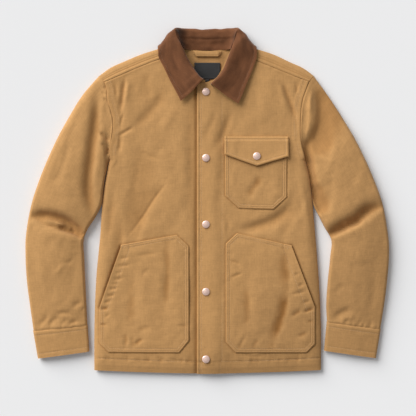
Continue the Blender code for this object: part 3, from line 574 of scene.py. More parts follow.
lay = {
    "edgeZ": 8.0, "floorRoll": 9.0, "underarmRoll": 18.0, "bodyRoll": 24.0,
    "steeper": {"right": 16.0, "left": 0.0}, "steeperY": 45.0, "steeperRun": 62.0,
    "seamZ": 16.7, "neckSeamRise": 1.3, "seamBlend": 40.0, "armholeZ": 18.5, "foldZ": 3.0,
    "hemZ": 10.5, "hemRise": 60.0, "hemBow": 0.8, "frontZ": 16.2, "crown": 2.6, "crownWidth": 560.0,
    "chestRise": 1.2, "chestFromY": -250.0, "chestRun": 350.0,
    "lap": 2.4, "lapX": 20.0, "lapRun": 60.0,
    "neckLift": 5.2, "neckLiftY": 250.0, "neckLiftRun": 76.0, "neckLiftX": 165.0, "neckLiftSide": 55.0,
    "wrap": 0.04951557, "armholeLength": 185.0, "backArmholeLength": 200.0,
    "canvas": 1.4, "doubled": 2.2, "gap": 0.8,
}
outline = {
    "hemMiddleY": -398.0, "placketX": -24.0, "underlapX": 24.0,
    "sideSeam": {
        "right": [(-260.5, -390), (-260.5, -300), (-256, -177), (-247, -80), (-241, 5), (-234, 55),
                  (-226, 94)],
        "left": [(262, -389.5), (262, -288), (255, -150), (247.5, -60), (240, 20), (233.5, 65), (226, 94)],
    },
    "armhole": {
        "right": [(-237, 275), (-231, 254), (-230, 237), (-222, 209), (-217, 186), (-218, 163),
                  (-221, 142), (-225, 113), (-226, 94)],
        "left": [(234, 276), (227, 257), (218, 229), (215, 199), (214, 170), (215, 143), (218, 123),
                 (223, 106), (226, 94)],
    },
    "backArmhole": {
        "right": [(-250, 288), (-236, 258), (-229, 220), (-224, 180), (-223, 135), (-226, 94)],
        "left": [(245, 289), (232, 258), (224, 220), (220, 180), (220, 135), (226, 94)],
    },
    "shoulderFold": {
        "right": [(-250, 288), (-222, 308), (-193, 321), (-155, 337), (-112, 350.5), (-58, 366)],
        "left": [(245, 289), (220, 307), (191, 320), (155, 337), (112, 350.5), (58, 366)],
    },
    "forwardSeam": {
        "right": [(-237, 275), (-201, 291), (-132, 320), (-110, 328), (-54, 349)],
        "left": [(234, 276), (201, 289), (132, 317), (112, 325), (54, 349)],
    },
    "frontNeck": {
        "right": [(24, 267), (0, 270), (-18, 282.5), (-38, 314), (-54, 349)],
        "left": [(-24, 270.5), (-2, 272.5), (18, 281), (38, 314), (54, 349)],
    },
    "backNeck": [(-58, 364), (-49, 356), (-28, 349.5), (0, 347), (28, 349.5), (49, 356), (58, 364)],
}
bodyCreases = [
    (4, 7, -4.6, (-190, 290), (-191, 270), (-193, 248), (-196, 225), (-199, 203)),
    (6, 6, 1.6, (-181, 280), (-184, 252), (-190, 224)),
    (3, 4, -1.8, (-214, 276), (-209, 255), (-207, 238)),
    (4, 4, -2.6, (-203, 150), (-187, 160), (-171, 169)),
    (12, 12, -2.8, (-173, 167), (-146, 188), (-119, 219), (-100, 240), (-88, 250)),
    (3.5, 4, -1.6, (-202, 166), (-197, 186), (-191, 206)),
    (4, 5, -2.2, (-202, 150), (-200, 133), (-203, 113)),
    (4, 5, -1.3, (-160, 115), (-131, 104), (-105, 94)),
    (9, 24, -3, (-101, 36), (-124, 5), (-143, -26), (-170, -66)),
    (2.2, 3, -1.3, (-94, 41), (-124, 2), (-143, -28), (-178, -76)),
    (30, 15, -2.5, (-156, 112), (-155, 77), (-162, 33), (-174, -11), (-183, -70)),
    (9, 28, -2.4, (-140, -30), (-156, -62), (-166, -98)),
    (8, 12, -2.2, (-219, 12), (-224, -48), (-235, -101)),
    (8, 14, -3, (-200, -44), (-200, -95), (-210, -150), (-228, -205)),
    (16, 16, 1.6, (-60, 175), (-58, 94), (-49, 25)),
    (10, 12, -1.6, (-132, 297), (-139, 269), (-132, 232)),
    (12, 14, 1.8, (-72, 223), (-86, 191), (-109, 159)),
    (14, 18, 1.6, (-118, 120), (-92, 84), (-82, 30)),
    (7, 12, -1.6, (-35, 232), (-37, 117), (-37, -44)),
    (9, 9, -2.4, (21, 216), (13, 186), (1, 158), (-4, 130)),
    (8, 9, -3, (52, 206), (49, 188), (39, 160), (28, 137), (16, 122)),
    (9, 10, -1.8, (34, 117), (32, 67), (25, 2), (29, -90)),
    (5, 6, -4.2, (172, 276), (182, 251), (191, 228), (200, 203), (207, 176)),
    (6, 6, 1.4, (165, 269), (174, 237), (183, 205)),
    (4, 4, -2.4, (204, 276), (206, 262), (208, 246)),
    (14, 14, 1.4, (126, 251), (130, 209), (126, 168)),
    (14, 11, -5.6, (200, 8), (187, -15), (154, -43), (112, -58), (66, -69)),
    (11, 12, -1.7, (228, 14), (214, -12), (196, -38), (178, -72), (166, -100)),
    (6, 8, 1.6, (213, 48), (227, -9), (234, -71)),
    (5, 9, -2.2, (243, 12), (248, -57), (255, -140)),
    (5, 9, -1.2, (70, 120), (66, 60), (70, 0)),
    (6, 7, -1.6, (34, -25), (48, -48), (43, -80)),
    (2.5, 4, -2, (-113, -354), (-109, -362), (-98, -366)),
    (2.5, 3, -1.4, (-92, -363), (-70, -366), (-46, -367)),
    (2.5, 3, -1.4, (144, -352), (151, -359), (160, -368)),
    (3, 4, -1.8, (80, -350), (110, -357), (132, -353)),
]


def mirror(side):
    return -1 if side == "right" else 1


def sideOf(name):
    return "right" if name.endswith("right") else "left"


def wrapRise(share):
    return roundOver(0.75 * share) / roundOver(0.75)


def armholeLevels(side, levels):
    fold, seam = (np.array(outline[line][side][0], float) for line in ("shoulderFold", "armhole"))
    over = mixed(fold, seam, (levels / lay["wrap"])[:, None])
    below = curve(outline["armhole"][side], np.clip((levels - lay["wrap"]) / (1 - lay["wrap"]), 0, 1))
    places = np.where((levels < lay["wrap"])[:, None], over, below)
    length = lay["armholeLength"]
    top = mixed(lay["seamZ"], lay["armholeZ"], soft((levels - lay["wrap"]) * length / lay["seamBlend"]))
    rise = np.minimum(wrapRise(levels / lay["wrap"]), roundOver((1 - levels) * length / lay["bodyRoll"]))
    return np.column_stack([places, lay["edgeZ"] + (top - lay["edgeZ"]) * np.minimum(rise, 1)])


def backArmholeLevels(side, levels):
    places = curve(outline["backArmhole"][side], levels)
    ends = np.minimum(levels / lay["floorRoll"], (1 - levels) / lay["underarmRoll"])
    return np.column_stack([places, lay["edgeZ"] * (1 - roundOver(lay["backArmholeLength"] * ends))])


def sideSeam(side, share):
    return np.column_stack([curve(outline["sideSeam"][side], share), np.full(len(share), lay["edgeZ"])])


def bodyEdge(side):
    arm = armholeLevels(side, np.linspace(1, lay["wrap"], 120))
    return np.concatenate([sideSeam(side, np.linspace(0, 1, 120)), arm[1:]])


hem = {
    "endY": -389.5, "bow": 8.5, "half": 260, "stitch": 28.0, "groove": 0.9, "pucker": 0.8,
    "sewnFrom": 256, "sewnTo": {"right": -28.0, "left": 33.0},
    "ridges": [(0.8, 14, 9), (-0.16, 9, 1.6), (-0.2, 19, 1.6)], "worn": [(0.3, 0, 2.2), (0.3, 25, 2)],
}
armSeam = {
    "stitches": (9.0, 13.5), "groove": 0.7, "raised": 1.1, "raisedTo": 19, "worn": [(0.5, 4, 3)],
    "sewn": (0.02, 0.93),
}
shoulderSeam = {"pucker": 0.45, "ridges": [(0.7, 4, 3), (-2.0, 0, 1.8)]}
placket = {
    "edgeStitch": 6.4, "secondStitch": 10.8, "facing": 57.8, "facingLow": -369.0, "lowStitch": 53.8,
    "groove": 0.6, "pucker": 0.25, "raised": 2.1, "worn": [(0.2, 0, 1.5), (0.25, 3, 2)],
    "underlap": [(-2.0, 0, 5.5), (-0.6, 0, 20)],
    "sewn": {"edgeStitch": (-392, 262, 300), "secondStitch": (-392, 262, 300), "facing": (-369, 230, 280),
             "lowStitch": (-395, -369, 40)},
}


def hemY(x):  # the hem's bow, from the side seams to the middle
    share = np.clip(1 - np.abs(x) / hem["half"], 0, 1)
    return hem["endY"] - hem["bow"] * mixed(share, np.sin(np.pi / 2 * share), lay["hemBow"])


def placketRelief(edge, x, y):  # the lapping edge of the left front, with its rows of stitches
    wave = ripple(y, x * 0.2, 11, 6)
    lower = soft((y - placket["facingLow"]) / 3)
    relief = 0.35 * bell(edge - 3.6, 2.6) * (1 + 0.4 * wave) - bell(edge, 1.5)
    relief -= placket["groove"] * bell(edge - placket["edgeStitch"], 1.2) * (1 + 0.5 * wave)
    relief -= 0.4 * placket["groove"] * bell(edge - placket["secondStitch"], 1.2)
    relief += placket["pucker"] * ripple(y, x * 0.3, 8, 16) * bell(edge - 8, 7)
    relief += placket["raised"] * (soft((edge - 2) / 32) - soft((edge - 38) / 28))
    relief -= 0.5 * bell(edge - placket["facing"], 1.3) * lower
    return relief - 0.45 * bell(edge - placket["lowStitch"], 1.2) * (1 - lower)


def bodyRelief(x, y, side):  # the sewn lines of a front, and how worn each place is
    above = y - hemY(x)
    relief = -hem["groove"] * bell(above - hem["stitch"], 1.6) * (0.8 + 0.5 * ripple(x, y * 0, 9, 3))
    relief += hem["pucker"] * ripple(x, y * 0.3, 7, 11) * bell(above - hem["stitch"], 9)
    relief += ridged(hem["ridges"], above)
    away, run = awayFrom(curve(outline["armhole"][side], np.linspace(0, 1, 60)), x, y)
    relief += armSeam["raised"] * soft(away / 1.5) * soft((armSeam["raisedTo"] - away) / 5)
    for at in armSeam["stitches"]:
        relief -= armSeam["groove"] * bell(away - at, 1.4) * (0.9 + 0.5 * ripple(run, away, 8, 5))
    wear = ridged(hem["worn"], above) + ridged(armSeam["worn"], away)
    away, run = awayFrom(curve(outline["forwardSeam"][side], np.linspace(0, 1, 40)), x, y)
    relief += shoulderSeam["pucker"] * ripple(run, away * 0.5, 10, 8) * bell(away - 4, 7)
    relief += ridged(shoulderSeam["ridges"], away)
    for name in pocketFolds:
        if sideOf(name) == side:
            shape = shapeOf(name)
            relief -= 0.9 * bell(awayFrom(shape, x, y, True)[0], 2.0)
            if name.startswith("hand"):
                relief -= 2.0 * bell(awayFrom(shape[2:4], x, y)[0], 4)
    edge = x - outline["placketX"]
    if side == "left":
        return relief + placketRelief(edge, x, y), wear + ridged(placket["worn"], edge)
    return relief * soft((-x - 20) / 12) + ridged(placket["underlap"], edge) * soft((-x - 10) / 6), wear


bodyRipples = [(1.1, 1, 0.45, 52, 20), (0.8, 1, 0.5, 30, 21), (0.42, 1, 0.7, 15, 22), (0.17, 0.8, 1, 7, 23)]


def frontCrumple(x, y, side):  # the folds of a front, pressed flatter under its pockets
    crumple = creaseHeight(bodyCreases, x, y) + rippled(bodyRipples, x, y)
    for name, folds in pocketFolds.items():
        shape = shapeOf(name)
        within = inside(shape, x, y) * soft(awayFrom(shape, x, y, True)[0] / 6)
        crumple = mixed(crumple, np.minimum(creaseHeight(folds, x, y), 0) - 0.9, within)
    if side == "right":
        return crumple * soft((np.abs(x) - 20) / 14)
    return crumple * (0.7 + 0.3 * soft((x - 24) / 20))


def frontTop(x, y, side, fine=True):
    share = np.linspace(0, 1, 120)
    edge, seam = bodyEdge(side), curve(outline["forwardSeam"][side], share)
    inward = -mirror(side)
    seamY = np.interp(inward * x, inward * seam[:, 0], seam[:, 1])
    seamZ = lay["seamZ"] + lay["neckSeamRise"] * np.interp(inward * x, inward * seam[:, 0], share)
    height = lay["frontZ"] + lay["crown"] * np.cos(np.pi * x / lay["crownWidth"])
    height = height + lay["chestRise"] * soft((y - lay["chestFromY"]) / lay["chestRun"])
    if fine:
        height = height + frontCrumple(x, y, side)
    aboveHem = np.sin(np.pi / 2 * np.clip((y - outline["hemMiddleY"]) / lay["hemRise"], 0, 1))
    height = mixed(lay["hemZ"], height, aboveHem)
    if side == "left":
        height = height + lay["lap"] * (1 - soft((x - lay["lapX"]) / lay["lapRun"]))
    height = mixed(seamZ, height, soft((seamY - y) / lay["seamBlend"]))
    edgeX, edgeZ = (np.interp(y, edge[:, 1], edge[:, k]) for k in (0, 2))
    roll = lay["bodyRoll"] - lay["steeper"][side] * bell(y - lay["steeperY"], lay["steeperRun"])
    return edgeZ + (height - edgeZ) * roundOver(np.abs(x - edgeX) / roll)


def frontSurface(x, y, side):
    return frontTop(x, y, side) + bodyRelief(x, y, side)[0]


frontGrid = {
    "outer": [0, 0.15, 0.6, 1.3, 2.3, 3.6, 5.2, 7.2, 9.6, 12.4, 15.6, 19.2],
    "inner": [16, 14.2, 12.4, 11.4, 10.6, 9.8, 8.6, 7.4, 6.7, 6.2, 5.6, 4.6, 3.2, 1.8, 0.7, 0],
    "hemRows": [0, 0.6, 1.8, 3.4, 5.4, 6.8, 7.6, 8.4, 9.2, 10.4, 12.4, 14.4, 15.6, 18, 20.5, 23, 25, 26.2,
                27.2, 28, 28.8, 29.8, 31.2, 33.4],
    "step": 2.7, "width": 284.0, "sideLength": 483.0, "neckShare": 0.409,
    # creaseShade, grooveShade and lapelShadow are strengths of painted shade and painted shadow
    "creaseShade": -0.06, "grooveShade": 0.34, "lapelShadow": 0.9, "lapelShadowY": 226,
}


def makeFront(name, side, edgeX, finish):
    width, step = frontGrid["width"], frontGrid["step"]
    inner = width - np.array(frontGrid["inner"])
    middle = np.arange(frontGrid["outer"][-1] + step, inner[0] - step * 0.6, step)
    across = np.concatenate([frontGrid["outer"], middle, inner]) / width
    sideLength, armLength = frontGrid["sideLength"], lay["armholeLength"]
    neckAt = sideLength + frontGrid["neckShare"] * armLength
    rows = np.concatenate([frontGrid["hemRows"], np.arange(36, sideLength + armLength, step)])
    neck = int(np.argmin(np.abs(rows - neckAt)))
    rows[neck] = neckAt
    rows[np.argmin(np.abs(rows - sideLength))] = sideLength
    rows[-1] = sideLength + armLength
    low = rows <= sideLength
    levels = 1 - (1 - lay["wrap"]) * (rows[~low] - sideLength) / armLength
    outer = np.concatenate([sideSeam(side, rows[low] / sideLength), armholeLevels(side, levels)])
    up = rows / rows[-1]
    line = outline["frontNeck"][side]
    centre = np.column_stack([np.full(neck + 1, edgeX),
                              mixed(outline["hemMiddleY"], line[0][1], up[: neck + 1] / up[neck])])
    inner = np.concatenate([centre, curve(line, (up[neck:] - up[neck]) / (1 - up[neck]))[1:]])
    bottom = mixed(outer[0, :2], inner[0], across[:, None])
    bow = (np.sin(np.pi / 2 * across) - across) * lay["hemBow"]
    bottom[:, 1] += (outline["hemMiddleY"] - outer[0, 1]) * bow
    top = curve(outline["forwardSeam"][side], across)
    grid = filled(bottom, top, outer[:, :2], inner, across, up)
    x, y = grid[..., 0], grid[..., 1]
    height = frontTop(x, y, side)
    height[:, 0] = outer[:, 2]
    relief, wear = bodyRelief(x, y, side)
    edgeFade = soft(np.abs(x - outer[:, :1]) / 8)
    edgeFade[~low] = 1
    grid = np.dstack([x, y, height + relief * edgeFade])
    # painted shade in the creases and stitch grooves of the front
    paintedShade = frontCrumple(x, y, side) * frontGrid["creaseShade"]
    paintedShade += np.maximum(-relief, 0) * frontGrid["grooveShade"]
    # painted shadow of the collar leaf's tip on the right front beside the placket edge
    if side == "right":
        under = bell(x - outline["placketX"] + 3, 4) * soft((y - frontGrid["lapelShadowY"]) / 12)
        paintedShade += frontGrid["lapelShadow"] * under
    return shell(name, grid, grid[..., :2], lay["canvas"], finish, outward=-mirror(side), wear=wear,
                 paintedShade=paintedShade)


def neckLift(x, y):
    up = soft((y - lay["neckLiftY"]) / lay["neckLiftRun"])
    return lay["neckLift"] * up * soft((lay["neckLiftX"] - np.abs(x)) / lay["neckLiftSide"])


backCreases = [
    (5, 9, -0.9, (-40, 345), (-34, 322), (-14, 300)),
    (9, 5, -1.2, (44, 345), (40, 325), (22, 300)),
    (14, 16, -0.8, (-20, 300), (0, 240), (-12, 150)),
]


backGrid = {
    "sideRows": 44, "fine": [0, 0.002, 0.006, 0.011], "shoulder": 0.018, "neck": 0.385, "neckColumns": 33,
    "wrapRows": 31, "wrapWidth": 28.0, "bow": 0.7, "lowest": -2.0,
    # seamShade is painted shade in the stitch grooves, and loopShade is painted shadow under the hanger
    # loop
    "seam": [(0.9, 3, 4), (-0.7, 8, 1.5), (-0.5, 13, 1.5)], "seamShade": [(0.3, 8, 1.5), (0.2, 13, 1.5)],
    "loopShade": 0.6,
}


def makeBack(name, finish):
    levels = eased(backGrid["sideRows"])[1:][::-1]
    start, end = (np.concatenate([sideSeam(side, np.linspace(0, 1, 100)),
                                  backArmholeLevels(side, levels)[1:]]) for side in ("right", "left"))
    up = runOf(start[:, :2])
    up /= up[-1]
    first, to, count = backGrid["shoulder"], backGrid["neck"], backGrid["neckColumns"]
    shoulder = np.concatenate([backGrid["fine"], np.linspace(first, to, 46)])
    neck = np.linspace(to, 1 - to, count)
    across = np.concatenate([shoulder, neck[1:], 1 - shoulder[::-1][1:]])
    ends, share = len(shoulder), shoulder / shoulder[-1]
    fold, seam, inward, low = {}, {}, {}, {}
    for side in ("right", "left"):
        fold[side] = curve(outline["shoulderFold"][side], share)
        seam[side] = curve(outline["forwardSeam"][side], share)
        inward[side] = seam[side] - fold[side]
        inward[side] /= np.linalg.norm(inward[side], axis=1)[:, None]
        low[side] = fold[side] + inward[side] * lay["floorRoll"] * 0.6
    top = np.concatenate([low["right"], curve(outline["backNeck"], np.linspace(0, 1, count))[1:-1],
                          low["left"][::-1]])
    top[0], top[-1] = start[-1, :2], end[-1, :2]
    bottom = mixed(start[0, :2], end[0, :2], across[:, None])
    bottom[:, 1] += (outline["hemMiddleY"] - bottom[:, 1]) * np.sin(np.pi * across) ** backGrid["bow"]
    grid = filled(bottom, top, start[:, :2], end[:, :2], across, up)
    x, y = grid[..., 0], grid[..., 1]
    toStart, toEnd = np.abs(x - start[:, :1]), np.abs(end[:, :1] - x)
    edge = np.where(toStart < toEnd, start[:, 2:], end[:, 2:])
    rolled = edge * (1 - roundOver(np.minimum(toStart, toEnd) / lay["floorRoll"]))
    height = np.maximum(neckLift(x, y), rolled)
    folds = np.maximum(creaseHeight(backCreases, x, y), backGrid["lowest"]) + 0.3 * ripple(x, y, 12, 31)
    lower = np.dstack([x, y, height + folds * soft(neckLift(x, y) / 2)])
    wrap = np.linspace(0, 1, backGrid["wrapRows"])
    away = (1 - wrap) * backGrid["wrapWidth"]
    over = np.zeros((len(wrap), len(across), 3))
    for side, columns in (("right", slice(0, ends)), ("left", slice(-1, -ends - 1, -1))):
        seamZ = lay["seamZ"] + lay["neckSeamRise"] * share
        lift = neckLift(*fold[side].T) * 0.5
        for k, part in enumerate(wrap):
            places = mixed(fold[side], seam[side] + inward[side], part)
            z = lay["edgeZ"] + lift * (1 - part) + (seamZ - lay["edgeZ"]) * wrapRise(part)
            z = z + ridged(backGrid["seam"], away[k])
            z = z + 0.3 * ripple(places[:, 0], places[:, 1], 11, 32) * (part > 0.3)
            over[k, columns] = np.column_stack([places, z])
    grid = np.concatenate([lower, over])
    kept = np.ones((len(grid) - 1, len(across) - 1), bool)
    kept[len(lower) - 1:, ends - 1: len(across) - ends] = False
    weave = grid[..., :2].copy()
    weave[len(lower):, :, 1] += np.linspace(20, 70, len(wrap))[:, None]
    paintedShade = np.zeros(grid.shape[:2])
    # painted shadow under the hanger loop, and painted shade in the shoulder seam's stitch grooves
    loopShadow = bell(y - loop["y"] + 1, 2.6) * soft((loop["half"] - 2 - np.abs(x)) / 4)
    paintedShade[: len(lower)] = backGrid["loopShade"] * loopShadow
    paintedShade[len(lower):] = ridged(backGrid["seamShade"], away)[:, None]
    return shell(name, grid, weave, lay["canvas"], finish, outward=-1, kept=kept, paintedShade=paintedShade)


# ---- sleeves and cuffs

sleeves = {
    "right": [
        (0.00, -250, 288, -226, 94, 19), (0.12, -287, 245, -230.7, 75, 26),
        (0.25, -320, 192, -235.8, 48, 28), (0.38, -353, 130, -240.0, 18, 28),
        (0.48, -384, 58, -244.9, -13, 27), (0.54, -402, 6, -259.5, -40, 27),
        (0.60, -413, -42, -276.5, -66, 26), (0.64, -417.5, -72, -283.5, -83, 26),
        (0.74, -419.3, -125, -283.5, -135, 25), (0.84, -416, -185, -281, -190, 23),
        (0.93, -409, -240, -278.5, -243, 21), (1.00, -400.4, -301, -276.5, -287, 16.5),
    ],
    "left": [
        (0.00, 245, 289, 226, 94, 19), (0.12, 282, 237, 232, 75, 26),
        (0.25, 312, 191, 237.3, 48, 28), (0.38, 348, 129, 241.4, 18, 28),
        (0.48, 381, 57.5, 246, -13, 27), (0.54, 401, 4.6, 259, -39, 27),
        (0.60, 411, -39, 272, -64, 26), (0.64, 416, -71, 283.5, -83, 26),
        (0.74, 419.3, -124, 283, -131, 25), (0.84, 414.7, -184, 277.5, -186, 23),
        (0.93, 407.8, -239, 274, -241, 21), (1.00, 398.5, -297, 276, -280, 16.5),
    ],
}
sleeveCreases = {
    "right": [
        (12, 12, -11, (-252, 256), (-254, 236), (-256, 212), (-258, 188), (-260, 160), (-264, 132),
         (-267, 104), (-271, 76), (-274, 47), (-274, 22), (-270, -6), (-263, -34), (-257, -58)),
        (3, 9, 0.8, (-238, 185), (-235, 145), (-233, 115), (-233, 85), (-236, 58), (-239, 30), (-243, 5),
         (-247, -15)),
        (7, 8, 1.4, (-238, 237), (-244, 205), (-248, 170)),
        (7, 9, 1.6, (-281, 237), (-302, 200), (-330, 140), (-357, 76), (-382, 12)),
        (8, 6, -1.6, (-316, 140), (-334, 76), (-357, 34)),
        (12, 8, -15, (-410, -39), (-394, -34), (-372, -34), (-350, -38), (-332, -44), (-319, -52),
         (-306, -64), (-294, -78)),
        (22, 4, -9, (-346, -63), (-337, -65.5), (-322, -70), (-308, -74.5), (-294, -80), (-278, -87)),
        (12, 3.5, -5, (-416, -24), (-398, -37), (-384, -47), (-370, -55), (-354, -61), (-337, -66),
         (-323, -70), (-309, -74.5), (-297, -79), (-280, -86)),
        (6, 14, 2, (-401, -53), (-385, -62), (-366, -71), (-350, -76), (-325, -84), (-302, -92),
         (-284, -99)),
        (2.6, 4, -3.4, (-341, -57), (-334, -61), (-329, -64)),
        (2.6, 4, -3.6, (-317, -65), (-309, -71), (-303, -75)),
        (3, 4, 2.6, (-325, -48), (-316, -60), (-313, -69)),
        (3, 3, 2, (-350, -46), (-341, -53), (-325, -56)),
        (3, 4, -3, (-302, -53), (-295, -64), (-290, -76)),
        (3, 3, -3, (-284, -80), (-288, -72)),
        (3, 3, -3, (-238, 264), (-233, 256)),
        (3, 3, -2, (-243, 251), (-234, 243)),
        (3, 3, -2.4, (-238, 237), (-228, 225)),
        (6, 4, -5, (-249, 158), (-241, 152), (-232, 143), (-226, 134)),
        (4, 4, -3, (-244, 133), (-236, 126), (-230, 118)),
        (3.5, 4, -6, (-228, 124), (-229, 112), (-232, 104)),
        (4, 5, -6, (-228, 96), (-229, 82), (-232, 66)),
        (4, 5, -1.5, (-330, -140), (-318, -141), (-309, -131)),
        (5, 5, 1, (-350, -170), (-336, -154), (-325, -147)),
        (6, 5, -2.6, (-308, -244), (-299, -237), (-288, -235)),
        (4, 3, -2.4, (-286, -246), (-284, -252)),
        (5, 6, -2.2, (-347, -262), (-336, -258), (-325, -257), (-311, -260)),
        (4, 4, 1.2, (-344, -266), (-328, -265), (-314, -268)),
        (7, 4.5, -2.6, (-389, -289), (-379, -279), (-371, -271), (-366, -262)),
        (5, 4, -2.2, (-361, -289), (-358, -279), (-350, -272), (-338, -270)),
        (5, 4, -2.8, (-319, -285), (-308, -279), (-297, -277)),
        (4, 4, -1.2, (-336, -289), (-330, -279), (-322, -274)),
        (12, 14, 1.2, (-389, -90), (-380, -159), (-362, -228)),
        (10, 14, -1.6, (-302, -113), (-307, -163), (-316, -209)),
    ],
    "left": [
        (44, 16, -17, (250, 272), (256, 256), (262, 238), (265, 223), (265, 206), (263, 188), (258, 168),
         (250, 148), (240, 130), (232, 114), (228, 98)),
        (9, 5, 2.6, (244, 262), (238, 240), (236, 212), (235, 185), (231, 158), (226, 132)),
        (5, 7, 1.6, (240, 256), (237, 230), (236, 200)),
        (9, 9, -21, (229, 130), (231, 104), (234, 80), (238, 55), (242, 30), (248, 4), (256, -22)),
        (16, 12, -15, (243, 45), (247, 28), (252, 12), (259, -4), (266, -18), (273, -34)),
        (10, 9, 1.6, (278, 232), (291, 175), (291, 117), (273, 57)),
        (12, 16, -3.2, (285, 56), (282, 32), (279, 10), (273, -16)),
        (6, 17, -19, (412, -7), (398, -12), (383, -19), (364, -30), (345, -48), (325, -57), (306, -67),
         (289, -76), (268, -87), (256, -93)),
        (5, 5, 3.2, (316, -44), (322, -56), (332, -70)),
        (6, 6, 2.2, (350, -28), (355, -40), (362, -52)),
        (4, 5, -2.4, (420, -8), (400, -20), (383, -30), (366, -41), (350, -50)),
        (4, 5, -2.4, (350, -51), (329, -61), (308, -67), (288, -73), (266, -80)),
        (16, 8, 1.2, (406, -36), (383, -47), (360, -59), (337, -71), (314, -82), (289, -92)),
        (3, 3, -1.6, (318, -58), (327, -63), (337, -67)),
        (12, 14, 1.4, (337, 25), (356, 57), (365, 94)),
        (8, 9, -1.2, (379, 21), (383, 60)),
        (6, 8, -1.6, (286, -92), (279, -140), (276, -195)),
        (8, 8, -1.2, (328, -140), (351, -150), (379, -140)),
        (8, 8, -1.8, (291, -217), (304, -201), (319, -190)),
        (7, 8, -3, (289, -270), (301, -261), (316, -254), (334, -249)),
        (5, 4.5, -1.8, (313, -284), (325, -271)),
        (4, 4, -1.8, (343, -289), (353, -277)),
        (3.5, 3.5, -1.4, (358, -291), (360, -281)),
        (4.5, 4, -2, (374, -291), (379, -277)),
        (6, 6, 1.2, (300, -280), (318, -272), (340, -266)),
        (9, 12, -1.4, (384, -170), (380, -215), (374, -262)),
    ],
}
cuffs = {
    "right": [(-400.4, -301), (-276.5, -287), (-389.6, -363), (-273, -347)],
    "left": [(398.5, -297), (276, -280), (388, -362), (270, -345)],
    "heights": (17.5, 15.5), "proud": 1.0, "stitches": (9.0, 51.0), "groove": 0.55, "length": 61.8,
    "rows": [-2.5, -1, 0, 0.8, 2, 4, 6.5, 8.2, 9, 9.8, 12, 16, 20, 25, 30, 35, 40, 45, 48, 50, 51, 52, 54,
             57, 59.5, 61, 61.8],
    "ridges": [(0.2, 5, 3.5), (0.2, 57, 4), (-2.6, -2.5, 2.4)], "worn": [(0.9, 61.8, 2.0), (0.35, 0, 1.5)],
    "over": 72, "under": 30,
}


dome = {"flat": 0.58, "edge": 0.05, "arch": 0.42, "power": 1.8, "joinedFrom": 0.72, "joinedRun": 0.28}


def sleeveDome(over):  # how high a sleeve's top stands across it, as a share
    aside = np.abs(2 * over - 1)
    flat = dome["flat"] * roundOver(np.minimum(over, 1 - over) / dome["edge"])
    return flat + dome["arch"] * (1 - aside ** dome["power"])


def sleeveRing(side, out, into, height, fade, over, under):
    out, into = np.array(out, float), np.array(into, float)
    arm, backArm = armholeLevels(side, over), backArmholeLevels(side, under)
    first, last = arm[0, :2], arm[-1, :2]
    top = mixed(out, into, over[:, None]) + (arm[:, :2] - mixed(first, last, over[:, None])) * fade
    base = mixed(out, into, under[:, None]) + (backArm[:, :2] - mixed(first, last, under[:, None])) * fade
    width = np.hypot(*(into - out))
    topZ = lay["edgeZ"] + (height - lay["edgeZ"]) * sleeveDome(over)
    near = np.minimum(under, 1 - under) * width
    baseZ = lay["edgeZ"] * (1 - roundOver(near / lay["floorRoll"]))
    joined = soft((fade - dome["joinedFrom"]) / dome["joinedRun"])
    topZ = mixed(topZ, arm[:, 2], joined)
    baseZ = mixed(baseZ, backArm[:, 2], joined)
    return np.concatenate([np.column_stack([top, topZ]), np.column_stack([base, baseZ])])


def underside(count):
    return eased(count)[1:-1][::-1]


sleeveGrid = {
    "over": 76, "under": 30, "rows": 230, "length": 640.0, "tuck": 3.0, "tuckDepth": 2.0, "joinedTo": 0.42,
    "ripples": [(1.3, 1, 0.5, 40, 41), (0.6, 1, 0.8, 17, 42)], "fine": [(0.22, 1, 1, 7, 43)],
    "armholeRipples": [(1.0, 1, 0.35, 9, 44)], "armholeRidges": [(0.9, 8, 7), (-1.4, 0, 2.6)],
    "cuffRipples": [(0.6, 1.3, 0.3, 9, 45)], "cuffRidges": [(1.1, 5, 3.5), (-0.9, 0, 1.6)],
}


